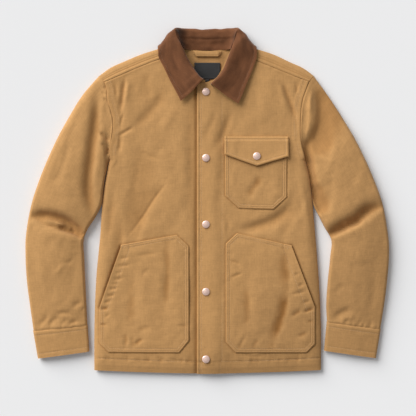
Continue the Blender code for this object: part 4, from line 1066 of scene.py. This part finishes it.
def sleeveSurface(side):
    over, under = eased(sleeveGrid["over"]), underside(sleeveGrid["under"])
    over = 0.55 * over + 0.45 * np.linspace(0, 1, len(over))
    table = np.array(sleeves[side])
    along = np.linspace(0, 1, sleeveGrid["rows"]) ** 1.08
    sections = byLevel(table[:, 0], table[:, 1:], along)
    fade = 1 - soft(along / sleeveGrid["joinedTo"])
    grid = np.array([sleeveRing(side, row[:2], row[2:4], row[4], joined, over, under)
                     for row, joined in zip(sections, fade)])
    count = len(over)
    top = grid[:, :count]
    x, y = top[..., 0], top[..., 1]
    arched, run = sleeveDome(over)[None, :], runOf(top[0])[None, :]
    away, beforeCuff = along[:, None] * sleeveGrid["length"], (1 - along[:, None]) * sleeveGrid["length"]
    crumple = creaseHeight(sleeveCreases[side], x, y) + rippled(sleeveGrid["fine"], x, y)
    crumple += rippled(sleeveGrid["ripples"], x, y) * soft(along / 0.10)[:, None]
    crumple += rippled(sleeveGrid["armholeRipples"], run, away) * np.exp(-away / 15) * soft(away / 3)
    crumple += rippled(sleeveGrid["cuffRipples"], run, away) * np.exp(-beforeCuff / 12)
    crumple += ridged(sleeveGrid["armholeRidges"], away) + ridged(sleeveGrid["cuffRidges"], beforeCuff)
    clear = top[..., 2] + crumple * arched - lay["foldZ"]  # a deep fold rests on the underside
    top[..., 2] = lay["foldZ"] + 0.5 * (clear + np.sqrt(clear ** 2 + 4))
    tuck = grid[:1].copy()
    tuck[0, :count, 0] -= mirror(side) * sleeveGrid["tuck"]
    tuck[0, :count, 2] -= sleeveGrid["tuckDepth"]
    grid = np.concatenate([tuck, grid])
    wear, paintedShade = np.zeros(grid.shape[:2]), np.zeros(grid.shape[:2])
    wear[1:, :count] = 0.3 * bell(arched, 0.45) + np.clip(crumple * 0.08, 0, 0.5)
    # painted shade in the sleeve's valleys
    paintedShade[1:, :count] = 0.5 * soft((-crumple - 2) / 8)
    return grid, wear, paintedShade


def makeSleeve(name, side, finish):
    grid, wear, paintedShade = sleeveSurface(side)
    return shell(name, grid, ringWeave(grid), lay["canvas"], finish, outward=mirror(side), ring=True,
                 wear=wear, paintedShade=paintedShade)


def cuffSurface(side):
    upperOut, upperIn, lowerOut, lowerIn = np.array(cuffs[side], float)
    wide = (upperOut - upperIn) / np.linalg.norm(upperOut - upperIn) * cuffs["proud"]
    over, under = eased(cuffs["over"]), underside(cuffs["under"])
    rows = np.array(cuffs["rows"])
    rings = []
    for down in rows / cuffs["length"]:
        out, into = mixed(upperOut, lowerOut, down) + wide, mixed(upperIn, lowerIn, down) - wide
        rings.append(sleeveRing(side, out, into, mixed(*cuffs["heights"], down), 0, over, under))
    grid = np.array(rings)
    away, run = rows[:, None], runOf(grid[0, :len(over)])[None, :]
    relief = 0.35 * ripple(run, away, 14, 51) + ridged(cuffs["ridges"], away)
    for at in cuffs["stitches"]:
        relief = relief - cuffs["groove"] * bell(away - at, 1.3) * (1 + 0.5 * ripple(run, away * 0, 8, 52))
    grid[:, :len(over), 2] += relief * sleeveDome(over)[None, :]
    return grid, np.zeros(grid.shape[:2]) + ridged(cuffs["worn"], away)


def makeCuff(name, side, finish):
    grid, wear = cuffSurface(side)
    return shell(name, grid, ringWeave(grid), lay["doubled"], finish, outward=mirror(side), ring=True,
                 wear=wear)


# ---- collar

collar = {
    "right": [
        (0.00, 0, 347.4, 7.2, 0, 395.5, 5.5, 0, 333, 0, 5.5, 5.5, 90),
        (0.14, -28, 348.8, 7.2, -32, 397.6, 5.6, -37, 332, 0, 5.5, 5.5, 90),
        (0.26, -48.4, 349.6, 12, -60, 398.9, 8.5, -76, 331, 0, 6, 6, 86),
        (0.34, -55.5, 350.8, 20, -73, 398.2, 17, -98, 336, 0, 7, 6, 62),
        (0.39, -57.5, 352, 22.5, -75.5, 394.5, 23.5, -109, 348, 0.5, 7, 4.5, 35),
        (0.43, -57.5, 352.5, 24, -75.5, 391, 24.5, -113, 356, 5, 7, 3, 10),
        (0.47, -57.5, 352.5, 24.5, -74, 386, 26, -114.5, 357.5, 13, 7, 2, -10),
        (0.52, -57, 351, 23, -71, 378, 27, -114.5, 353, 21, 6, 1, -40),
        (0.58, -56, 347.5, 21.5, -64, 366, 27.5, -113, 342.5, 24, 5, 0, -65),
        (0.66, -53.5, 341, 21.5, -57, 352, 27.5, -111.6, 330, 23, 5, 0, -80),
        (0.77, -45.5, 328, 21.5, -46, 329, 27.5, -99, 305, 22, 5, 0, -90),
        (0.89, -29.5, 300.5, 21.5, -29, 301, 27.5, -81, 268, 22, 5, 0, -90),
        (0.96, -15.5, 283, 21.5, -15, 283, 27.5, -66, 240, 22, 4.5, 0, -90),
        (1.00, -8.5, 278.5, 21.5, -8.5, 279, 27, -61, 229, 22, 4, 0, -90),
    ],
    "left": [
        (0.00, 0, 347.4, 7.2, 0, 395.5, 5.5, 0, 333, 0, 5.5, 5.5, 90),
        (0.14, 28, 348.8, 7.2, 32, 397.6, 5.6, 37, 332, 0, 5.5, 5.5, 90),
        (0.26, 48.4, 349.3, 12, 58, 399, 7.5, 76, 331, 0, 6, 6, 86),
        (0.34, 54, 350.2, 20, 71, 398.6, 15, 97, 336, 0, 7, 6, 62),
        (0.39, 56, 351, 22.5, 72.5, 395, 22.5, 108.5, 348, 0.5, 7, 4.5, 35),
        (0.43, 56, 351, 24, 72, 391, 24.5, 112.5, 355, 5, 7, 3, 10),
        (0.47, 56, 350.5, 24.5, 70, 385, 25, 114, 356, 13, 7, 2, -10),
        (0.52, 55.5, 349, 23, 66.5, 376, 26.5, 114, 351, 21, 6, 1, -40),
        (0.58, 55, 346, 21.5, 60.5, 363, 27.5, 113.5, 341, 24, 5, 0, -65),
        (0.66, 52.5, 340, 21.5, 54, 346, 27.5, 112.5, 328, 23, 5, 0, -80),
        (0.77, 45.5, 325, 21.5, 46, 325, 27.5, 104, 302, 22, 5, 0, -90),
        (0.89, 32.5, 295.5, 21.5, 32.5, 295, 27.5, 90, 268, 22, 5, 0, -90),
        (0.96, 17, 277, 21.5, 17, 277, 27.5, 78, 238, 22, 4.5, 0, -90),
        (1.00, 8, 268, 21.5, 8, 268, 27, 71, 223, 22, 4, 0, -90),
    ],
    "levels": [0, 0.15, 0.25, 0.32, 0.4, 0.48, 0.57, 0.7, 0.85, 1], "rows": 110, "columns": 66,
    "tipBow": 1.5, "stitch": 7.0, "thick": 2.2, "clear": 3.6, "standOff": 4.0, "rollLift": 3.6,
    "endLift": 7.0, "tipFrom": 0.88, "tipRun": 0.12, "overFrom": 0.52, "overRun": 0.1, "endFrom": 0.8,
    "endRun": 0.2, "roll": 4, "rollWidth": 2.2, "cornerShades": (0.9, 0.4), "lowest": 0.4,
    "ridges": [(0.5, 3.2, 2.6), (-0.6, 7.0, 1.5)],
    "standRidges": [(-1.3, 25, 1.8), (0.9, 31, 4)], "worn": [(0.9, 0, 1.6), (0.35, 4, 2)],
}


def bodyTop(x, y):
    right, left = frontTop(x, y, "right", False), frontTop(x, y, "left", False)
    return np.where(x < outline["placketX"], right, left)


def collarSection(row, bow, levelsOut):
    neck, roll, edge = (np.array(row[k: k + 3]) for k in (1, 4, 7))
    bend, puff, tilt = row[10], row[11], np.radians(row[12])
    stand = (neck - roll) / max(np.linalg.norm(neck - roll), 1e-6)
    fall = (edge - roll) / np.linalg.norm(edge - roll)
    inward = np.array([-np.sign(row[4]) if abs(row[4]) > 1 else 0, 0, 0])
    apart = np.cos(tilt) * inward + np.sin(tilt) * np.array([0, 0, 1.0])
    reach = min(bend, 0.7 * np.linalg.norm(neck - roll))
    standTop = roll + stand * reach + apart * puff
    fallTop = roll + fall * bend - apart * bend
    middle = mixed(fallTop, edge, 0.5)
    middle[2] = mixed(middle[2], edge[2], 0.75 * soft((0.5 - row[0]) / 0.08))
    middle[:2] += bow
    points = [neck, mixed(neck, standTop, 0.5), standTop, roll, fallTop, middle, edge]
    return byLevel([0, 0.15, 0.3, 0.4, 0.5, 0.75, 1], points, levelsOut)


def collarRow(side, row, levels, place):  # one section, kept clear of the front under it
    level = row[0]  # from the back's middle to the collar's end; place counts from the neck seam
    tip = soft((level - collar["tipFrom"]) / collar["tipRun"]) * collar["tipBow"]
    section = collarSection(row, np.array([-mirror(side) * tip, -tip * 0.5]), levels)
    over = soft((level - collar["overFrom"]) / collar["overRun"])
    panel = bodyTop(section[:, 0], section[:, 1])
    lift = max(0, panel[0] + lay["gap"] - section[0, 2])
    section[:, 2] += lift * over * np.clip(2 - place / 5, 0, 1)
    under = collar["clear"] * soft((place - 4.2) / 0.8) + collar["standOff"] * soft((place - 5) / 4)
    raised = np.maximum(section[:, 2], panel + under)
    section[:, 2] = np.maximum(mixed(section[:, 2], raised, over), collar["lowest"])
    section[:, 2] += collar["rollLift"] * bell(place - collar["roll"], collar["rollWidth"]) * over
    end = soft((level - collar["endFrom"]) / collar["endRun"]) * soft((place - 2.5) / 2)
    section[:, 2] += collar["endLift"] * end * (1 - 0.5 * soft((place - 6) / 3))
    return section


def collarSurface():
    columns, coarse = collar["columns"], collar["levels"]
    levels = np.interp(np.linspace(0, 1, columns), np.linspace(0, 1, len(coarse)), coarse)
    place = np.interp(levels, coarse, np.arange(len(coarse)))
    half = {}
    for side in ("right", "left"):
        table = np.array(collar[side])
        sections = byLevel(table[:, 0], table, np.linspace(0, 1, collar["rows"]))
        half[side] = [collarRow(side, row, levels, place) for row in sections]
    grid = np.array(half["right"][::-1] + half["left"][1:])
    run = np.array([runOf(section) for section in grid])
    along = runOf(grid[:, int(columns * 0.75)])[:, None]
    border = np.minimum(run[:, -1:] - run, np.minimum(along, along[-1] - along))
    fallen = soft(place - 4.6)[None, :]
    relief = ridged(collar["ridges"], border) + 0.35 * ripple(along, run, 8, 61) * bell(border - 5, 5)
    relief += 0.9 * soft((border - 7) / 14) - 0.9
    relief += 0.8 * ripple(along * 0.5, run, 18, 62) * soft((border - 8) / 12)
    relief *= fallen
    ends = soft(np.abs(np.linspace(-1, 1, len(grid))) / 0.5)[:, None]
    standing = ridged(collar["standRidges"], run) + 1.4 * ripple(along, run * 1.6, 16, 63) * soft(run / 8)
    standing += 0.8 * bell(run - 12, 4) * ripple(along, run * 0, 30, 64)
    relief += standing * (1 - fallen) * (1 - ends)
    wear = ridged(collar["worn"], border) * fallen + 0.25 * bell(place - 3.6, 0.8)[None, :]
    x = grid[..., 0]
    # painted shadow in the stand's inner corners behind the leaves
    right, left = collar["cornerShades"]
    cornerShadow = right * soft((-x - 36) / 24) + left * soft((x - 52) / 14)
    paintedShade = cornerShadow * (1 - soft((place - 3.4) / 0.5))[None, :]
    grid = grid - gridNormals(grid) * relief[..., None]
    return grid, np.dstack([run, along + 0 * run]), wear, paintedShade, run


def makeCollar(name, finish):
    grid, weave, wear, paintedShade, _ = collarSurface()
    return shell(name, grid, weave, collar["thick"], finish, outward=-1, wear=wear, paintedShade=paintedShade)


# ---- patches sewn on the fronts

pockets = {
    "hand_pocket_right": [(-227.7, -348.2, -64.4, -348.9), (-248.5, -327.5, -42, -321.3),
                          (-248.2, -245, -42, -227.7), (-199, -105.8, -42, -103.5),
                          (-199, -100.7, -69.7, -77.1)],
    "hand_pocket_left": [(228.2, -348.9, 64.9, -348.9), (248.2, -328.9, 42, -324.3),
                         (248.2, -245.9, 42, -227.7), (194.4, -105.5, 42, -98),
                         (194.4, -102, 68.1, -73.4)],
    "chest_pocket": [(152.3, -19.3, 72, -17), (183, 8.1, 40.7, 11.7), (183, 138, 40.7, 138)],
    "stitches": (4.2, 9.2), "puff": 0.25, "groove": 0.42, "pressed": 1.25, "step": 2.3, "rise": 2.4,
    "mouthStitch": 20.0, "thick": 1.0, "ripples": [(0.8, 1, 0.5, 30, 73), (0.35, 1, 1, 12, 74)],
    "worn": [(0.15, 0, 1.4), (0.2, 2.5, 1.8)], "creaseShade": -0.04, "grooveShade": 0.4,
    "flapShadow": 0.9, "gape": (0.9, 1.6, 20), "mouthGroove": 0.5,
}
flap = {
    "edge": [(39.6, 107.2), (77, 93.5), (114.3, 80.5), (150, 91.5), (186.5, 102.1)],
    "topY": 148.4, "stitch": 6.5, "topStitch": 6.8, "lift": 2.4, "rise": 3.2, "pocketY": 146,
    "width": 147, "depth": 60, "step": 2.4, "ridges": [(0.5, 3, 2.4), (-0.45, 6.5, 1.2), (-0.7, 0, 1.0)],
    "topRidges": [(0.7, 4, 2.6), (-0.8, 6.8, 1.4), (-0.6, 0, 1.2)],
}
pocketFolds = {
    "hand_pocket_right": [
        (10, 11, -2.2, (-90, -98), (-92, -123), (-93, -169), (-95, -214), (-101, -255)),
        (12, 13, -1.5, (-172, -164), (-170, -203), (-171, -237), (-175, -285)),
        (5, 5, -2, (-166, -331), (-160, -324), (-147, -317)),
        (5, 6, -1.4, (-190, -303), (-187, -323), (-190, -337)),
        (5, 5, -0.9, (-172, -310), (-172, -336)),
        (5, 7, -1.2, (-161, -296), (-150, -293), (-128, -290)),
        (4, 5, -1, (-170, -128), (-143, -123), (-113, -120)),
        (4, 4, -1, (-72, -287), (-56, -287), (-46, -285)),
        (5, 7, -1, (-148, -174), (-143, -163), (-131, -156)),
        (18, 18, 1.4, (-140, -150), (-148, -230), (-140, -300)),
        (14, 14, 1, (-70, -150), (-74, -230), (-70, -300)),
        (12, 12, 0.8, (-214, -225), (-212, -280), (-216, -316)),
        (4.5, 3, -1.6, (-199, -132), (-190, -131), (-179, -129)),
        (4.5, 3, -1.6, (-206, -150), (-193, -149), (-178, -148)),
        (4, 3, -1.2, (-211, -166), (-203, -165), (-195, -163)),
        (4.5, 3, -1.9, (-216, -181), (-206, -180), (-195, -178)),
        (4, 3, -1.2, (-220, -192), (-212, -191), (-204, -190)),
        (4.5, 3, -2, (-225, -203), (-216, -202), (-206, -200)),
        (4.5, 3, -2, (-231, -219), (-222, -218), (-212, -216)),
        (4.5, 3, -1.8, (-237, -234), (-229, -232), (-220, -229)),
        (5, 3, -2.6, (-246, -248), (-237, -248), (-226, -247)),
        (3, 3, -1, (-236, -267), (-230, -264), (-223, -259)),
        (3, 3, -1.4, (-248, -284), (-240, -284), (-230, -284)),
    ],
    "hand_pocket_left": [
        (13, 12, -1.7, (179, -100), (177, -140), (181, -165), (181, -198)),
        (9, 15, -2.6, (186, -200), (181, -224), (175, -250), (168, -272), (160, -298), (149, -330)),
        (3, 4, -1.6, (54, -136), (64, -140), (76, -146)),
        (4, 3, -1.6, (54, -175), (66, -171), (80, -166)),
        (18, 18, 1.3, (120, -130), (118, -220), (112, -320)),
        (4, 5, -1.4, (70, -339), (79, -325), (87, -311)),
        (5, 6, -1.2, (106, -339), (109, -328), (119, -318)),
        (12, 14, -1.8, (86, -190), (92, -237), (83, -282), (64, -288)),
        (3.5, 3, -1.4, (199, -171), (205, -169), (211, -167)),
        (3.5, 3, -1.6, (209, -196), (214, -194), (220, -191)),
        (5, 3.5, -2, (193, -215), (208, -212), (226, -208)),
        (4, 3, -1.8, (220, -233), (228, -232), (237, -229)),
        (5, 3, -2.6, (222, -256), (234, -251), (246, -248)),
        (6, 6, -2.2, (192, -266), (204, -258), (216, -249)),
        (3, 3, -1.2, (230, -277), (242, -277)),
        (5, 5, -1.4, (208, -311), (219, -307), (229, -303)),
        (9, 9, 0.8, (196, -150), (204, -196), (214, -230)),
    ],
    "chest_pocket": [
        (9, 11, -1.9, (89, 2), (98, 20), (112, 40), (122, 62)),
        (10, 10, 0.9, (60, 60), (66, 20), (78, -4)),
        (14, 14, 1, (150, 80), (156, 30), (146, -6)),
    ],
}


def shapeOf(name):
    rows = np.array(pockets[name], float)
    return np.concatenate([rows[:, :2], rows[::-1, 2:]])


def spread(total, step):  # fine at both ends, where the stitch lines are
    fine = np.array([0, 0.5, 1.2, 2.0, 3.0, 3.7, 4.2, 4.7, 5.5, 6.8, 8.2, 8.8, 9.3, 9.8, 10.8, 12.4])
    middle = np.arange(fine[-1] + step, total - fine[-1] - step * 0.6, step)
    return np.concatenate([fine, middle, total - fine[::-1]])


def pocketRelief(name, x, y):
    shape, hand = shapeOf(name), name.startswith("hand")
    away, run = awayFrom(shape, x, y, True)
    mouth, down = awayFrom(shape[2:4], x, y)
    sewn = soft((mouth - away) / 3) if hand else 1.0
    relief = pockets["puff"] * bell(away - 2.2, 1.8) - pockets["pressed"] * sewn * bell(away, 1.6)
    for at in pockets["stitches"]:
        relief -= pockets["groove"] * bell(away - at, 1.0) * (1 + 0.4 * ripple(run, away * 0, 7, 71)) * sewn
    relief += 0.15 * bell(away - 6.6, 1.6) * sewn
    relief += 0.22 * ripple(run, away * 0.4, 7, 72) * bell(away - 6, 6)
    body = soft((away - 9) / 14)
    relief += (0.6 + rippled(pockets["ripples"], x, y)) * body + creaseHeight(pocketFolds[name], x, y)
    wear = ridged(pockets["worn"], away)
    if hand:
        share = down / np.linalg.norm(shape[3] - shape[2])
        ends, middle, width = pockets["gape"]
        relief += (ends + middle * np.sin(np.pi * share)) * bell(mouth, width)
        groove = bell(mouth - pockets["mouthStitch"], 1.8) * soft(share / 0.1)
        relief -= pockets["mouthGroove"] * groove
        wear += 0.5 * bell(mouth, 2)
    return relief, wear


def pocketTop(name, x, y):
    return frontTop(x, y, sideOf(name), False) + pockets["rise"] + pocketRelief(name, x, y)[0]


def makePocket(title, name, finish):
    table, step = np.array(pockets[name], float), pockets["step"]
    level = (table[:, 1] + table[:, 3]) / 2
    wide = np.abs(table[:, 0] - table[:, 2]).max()
    rows = spread(level[-1] - level[0], step)
    sections = np.column_stack([np.interp(rows, level - level[0], edge) for edge in table.T])
    across = (spread(wide, step) / wide)[None, :, None]
    grid = mixed(sections[:, None, :2], sections[:, None, 2:], across)
    x, y = grid[..., 0], grid[..., 1]
    relief, wear = pocketRelief(name, x, y)
    grid = np.dstack([x, y, pocketTop(name, x, y)])
    # painted shade in the pocket's creases and stitch grooves
    paintedShade = creaseHeight(pocketFolds[name], x, y) * pockets["creaseShade"]
    paintedShade += np.maximum(-relief - 0.1, 0) * pockets["grooveShade"]
    # painted shadow of the flap's edge on the chest pocket
    if name == "chest_pocket":
        paintedShade += pockets["flapShadow"] * bell(nearLine(flap["edge"], x, y)[0] + 0.8, 1.7)
    return shell(title, grid, grid[..., :2], pockets["thick"], finish, outward=-mirror(sideOf(name)),
                 wear=wear, paintedShade=paintedShade)


def flapShape():  # from its lower left, round the point and back along the top
    edge = np.array(flap["edge"], float)
    return np.concatenate([edge, [(edge[-1, 0], flap["topY"]), (edge[0, 0], flap["topY"])]])


def flapRelief(x, y):
    below, _ = awayFrom(np.roll(flapShape(), 1, axis=0), x, y)
    free, _ = awayFrom(flap["edge"], x, y)
    down = flap["topY"] - y
    relief = ridged(flap["ridges"], below) + ridged(flap["topRidges"], down)
    relief += 0.5 * ripple(x, y * 0.25, 13, 81) * soft((down - 8) / 8) * soft(below / 14)
    relief += 0.9 * soft((down - 10) / 30) + flap["lift"] * bell(free, 11) * soft((down - 8) / 20)
    return relief, 0.8 * bell(below, 1.5) + 0.5 * bell(down - 3, 3)


def flapTop(x, y):
    onPocket = pockets["rise"] * soft((flap["pocketY"] - y) / 10)
    return frontTop(x, y, "left", False) + flap["rise"] + onPocket + flapRelief(x, y)[0]


def makeFlap(name, finish):
    edge = np.array(flap["edge"], float)
    share, down = (spread(flap[size], flap["step"]) / flap[size] for size in ("width", "depth"))
    x = np.interp(share, np.linspace(0, 1, len(edge)), edge[:, 0])
    low = np.interp(x, edge[:, 0], edge[:, 1])
    y = mixed(flap["topY"], low[None, :], down[:, None])
    x = np.broadcast_to(x, y.shape)
    grid = np.dstack([x, y, flapTop(x, y)])
    return shell(name, grid, grid[..., :2], lay["doubled"], finish, outward=-1, wear=flapRelief(x, y)[1])


# ---- inside the neck

loop = {
    "half": 32.0, "width": 12.0, "y": 333.5, "rise": 7.0, "z": 4.7, "bulge": 2.0, "thick": 2.0, "turn": 8.0,
    "levels": [0, 0.05, 0.12, 0.2, 0.35, 0.5, 0.65, 0.8, 0.88, 0.95, 1], "columns": 90,
}
labels = {
    "label": (29.8, 281.5, 319.0), "size_tab": (5.0, 275.5, 280.8), "z": 3.2, "thick": 0.8,
    "ripple": (0.3, 1, 1, 17, 92), "columns": 60, "rows": 40,
}


def makeLoop(name, finish):
    x = np.linspace(-loop["half"], loop["half"], loop["columns"])
    turn = soft((np.abs(x) - loop["half"] + loop["turn"]) / loop["turn"])
    share = np.array(loop["levels"])[:, None]
    y = loop["y"] + loop["rise"] * turn + loop["width"] * share * (1 - 0.45 * turn)
    x = np.broadcast_to(x, y.shape)
    puff = 0.7 * np.sin(np.pi * share) + 0.4 * ripple(x, y, 9, 91) * (0.3 + turn)
    height = neckLift(x, y) + loop["z"] + loop["bulge"] * (1 - turn) + puff - 0.4 * bell(share - 0.15, 0.05)
    grid = np.dstack([x, y, height])
    return shell(name, grid, grid[..., :2], loop["thick"], finish, outward=1,
                 wear=0.4 * bell(share, 0.1) + 0 * y)


def makeTag(title, name, finish):
    half, low, high = labels[name]
    x, y = np.meshgrid(np.linspace(-half, half, labels["columns"]), np.linspace(low, high, labels["rows"]))
    fromEdge = np.minimum(np.minimum(half - np.abs(x), y - low), high - y)
    relief = 0.3 * soft(fromEdge / 1.2) + 0.25 * bell(fromEdge - 2.2, 1) + rippled([labels["ripple"]], x, y)
    grid = np.dstack([x, y, neckLift(x, y) + labels["z"] + relief])
    return shell(title, grid, grid[..., :2], labels["thick"], finish, outward=1)


# ---- snaps

snaps = {
    "x": -3.0, "ys": (250.7, 98.9, -53.6, -208.4, -363.4), "flap": (113.6, 102.8), "turns": 44,
    "reach": 8.0,
    "rings": [(-0.2, 0), (-0.2, 8.9), (0.4, 9.1), (1.1, 8.9), (1.9, 8.3), (2.5, 7.5), (2.86, 6.6),
              (2.96, 5.8), (2.98, 5.3), (3.08, 4.9), (3.3, 4.2), (3.52, 3.0), (3.66, 1.6), (3.7, 0)],
    "dark": [1, 1, 0.9, 0.4, 0.1, 0, 0, 0.2, 0.4, 0.15, 0, 0, 0, 0],
}


def makeSnaps(name, finish):  # each cap rests on the highest cloth under its rim
    angles = np.linspace(0, 2 * np.pi, 24)
    ringX, ringY = snaps["reach"] * np.cos(angles), snaps["reach"] * np.sin(angles)
    x = snaps["x"]
    places = [(x, y, frontSurface(x + ringX, y + ringY, "left").max()) for y in snaps["ys"]]
    x, y = snaps["flap"]
    places.append((x, y, flapTop(x + ringX, y + ringY).max()))
    shape = turnedShape("snapShape", snaps["rings"], snaps["turns"], 2, snaps["dark"])
    caps = instanced(name, (np.array(places) * mm).tolist(), [], shape, finish, "Size", 1.0)
    bpy.data.objects.remove(shape, do_unlink=True)
    return caps


# ---- where the rows of stitches run

def lifted(line, height):
    return np.column_stack([line, height + thread["lift"]])


def onFront(side, path):
    return lifted(path, frontSurface(*path.T, side))


def upFront(x, low, high, count):  # a row straight up the left front
    y = np.linspace(low, high, count)
    return onFront("left", np.column_stack([0 * y + outline["placketX"] + x, y]))


def onPocket(name, line):
    return lifted(line, pocketTop(name, *line.T))


def onFlap(line):
    return lifted(line, flapTop(*line.T))


def offset(path, away):  # a line moved sideways, to its left
    run = np.gradient(path, axis=0)
    run /= np.linalg.norm(run, axis=1)[:, None]
    return path + np.column_stack([-run[:, 1], run[:, 0]]) * away


def insetShape(shape, away):  # an outline moved inward, corners kept
    area = 0.5 * np.sum(shape[:, 0] * np.roll(shape[:, 1], -1) - np.roll(shape[:, 0], -1) * shape[:, 1])
    turn = 1 if area > 0 else -1
    step = np.roll(shape, -1, axis=0) - shape
    step /= np.linalg.norm(step, axis=1)[:, None]
    normal = np.column_stack([-step[:, 1], step[:, 0]]) * turn
    before = np.roll(normal, 1, axis=0)
    return shape + (normal + before) * (away / (1 + np.sum(normal * before, axis=1)))[:, None]


def dense(points):
    points = np.asarray(points, float)
    lines = []
    for a, b in zip(points[:-1], points[1:]):
        count = max(2, int(np.linalg.norm(b - a) / thread["lineStep"]))
        lines.append(mixed(a, b, np.linspace(0, 1, count, endpoint=False)[:, None]))
    return np.concatenate(lines + [points[-1:]])


def canvasRows():
    rows = []
    for side in ("right", "left"):
        armhole = curve(outline["armhole"][side], np.linspace(*armSeam["sewn"], 90))
        rows += [onFront(side, offset(armhole, -mirror(side) * at)) for at in armSeam["stitches"]]
        x = np.linspace(mirror(side) * hem["sewnFrom"], hem["sewnTo"][side], 120)
        rows.append(onFront(side, np.column_stack([x, hemY(x) + hem["stitch"]])))
        name = f"hand_pocket_{side}"
        shape = shapeOf(name)
        for at in pockets["stitches"]:
            rows.append(onPocket(name, dense(np.roll(insetShape(shape, at), -3, axis=0))))
        rows.append(onPocket(name, offset(dense(shape[2:4]), mirror(side) * pockets["mouthStitch"])))
        grid, _ = cuffSurface(side)
        for at in cuffs["stitches"]:
            rows.append(grid[cuffs["rows"].index(at), : cuffs["over"] + 1] + [0, 0, thread["lift"]])
    rows += [upFront(placket[row], *ends) for row, ends in placket["sewn"].items()]
    for at in pockets["stitches"]:
        ring = insetShape(shapeOf("chest_pocket"), at)
        rows.append(onPocket("chest_pocket", dense(ring[[2, 1, 0, 5, 4, 3]])))
    rows.append(onFlap(dense(np.roll(insetShape(flapShape(), flap["stitch"]), 1, axis=0))))
    (left, _), *_, (right, _) = flap["edge"]
    y = flap["topY"] - flap["topStitch"]
    rows.append(onFlap(dense([(left + 2, y), (right - 2, y)])))
    return rows


def collarRows():
    grid, *_, run = collarSurface()
    column = np.argmin(np.abs(run[:, -1:] - run - collar["stitch"]), axis=1)
    return [grid[np.arange(len(grid)), column][2:-2] + [0, 0, thread["lift"]]]


# ---- the whole jacket

makeStudio()
canvasFinish, corduroyFinish, tapeFinish = makeCanvas(), makeCorduroy(), makeTape()
copperFinish = makeCopper()
tanThread, brownThread = makeThread("tan"), makeThread("brown")
print("studio and finishes made")

pieces = {}
pieces["back"] = makeBack("backPanel", canvasFinish)
pieces["front_right"] = makeFront("rightFront", "right", outline["underlapX"], canvasFinish)
pieces["front_left"] = makeFront("leftFront", "left", outline["placketX"], canvasFinish)
print("body made")
for side in ("right", "left"):
    pieces[f"sleeve_{side}"] = makeSleeve(f"{side}Sleeve", side, canvasFinish)
    pieces[f"cuff_{side}"] = makeCuff(f"{side}Cuff", side, canvasFinish)
print("sleeves made")
pieces["collar"] = makeCollar("turnedCollar", corduroyFinish)
patches = {"rightHandPocket": "hand_pocket_right", "leftHandPocket": "hand_pocket_left",
           "chestPocket": "chest_pocket"}
for title, name in patches.items():
    pieces[name] = makePocket(title, name, canvasFinish)
pieces["chest_flap"] = makeFlap("chestFlap", canvasFinish)
pieces["hanger_loop"] = makeLoop("hangerLoop", canvasFinish)
pieces["label"] = makeTag("neckLabel", "label", tapeFinish)
pieces["size_tab"] = makeTag("sizeTab", "size_tab", tapeFinish)
print("collar, pockets and neck tapes made")

snapCaps = makeSnaps("snapCaps", copperFinish)
stitch = makeStitch()
canvasStitches = sewRows("canvasStitches", canvasRows(), stitch, tanThread)
collarStitches = sewRows("collarStitches", collarRows(), stitch, brownThread)
bpy.data.objects.remove(stitch, do_unlink=True)
print("snaps and stitches made")

for node, piece in pieces.items():
    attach(piece, "root")
    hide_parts(node)
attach(snapCaps, "root")
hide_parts("snap_1", "snap_2", "snap_3", "snap_4", "snap_5", "flap_snap")
for rows in (canvasStitches, collarStitches):
    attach(rows, "root")
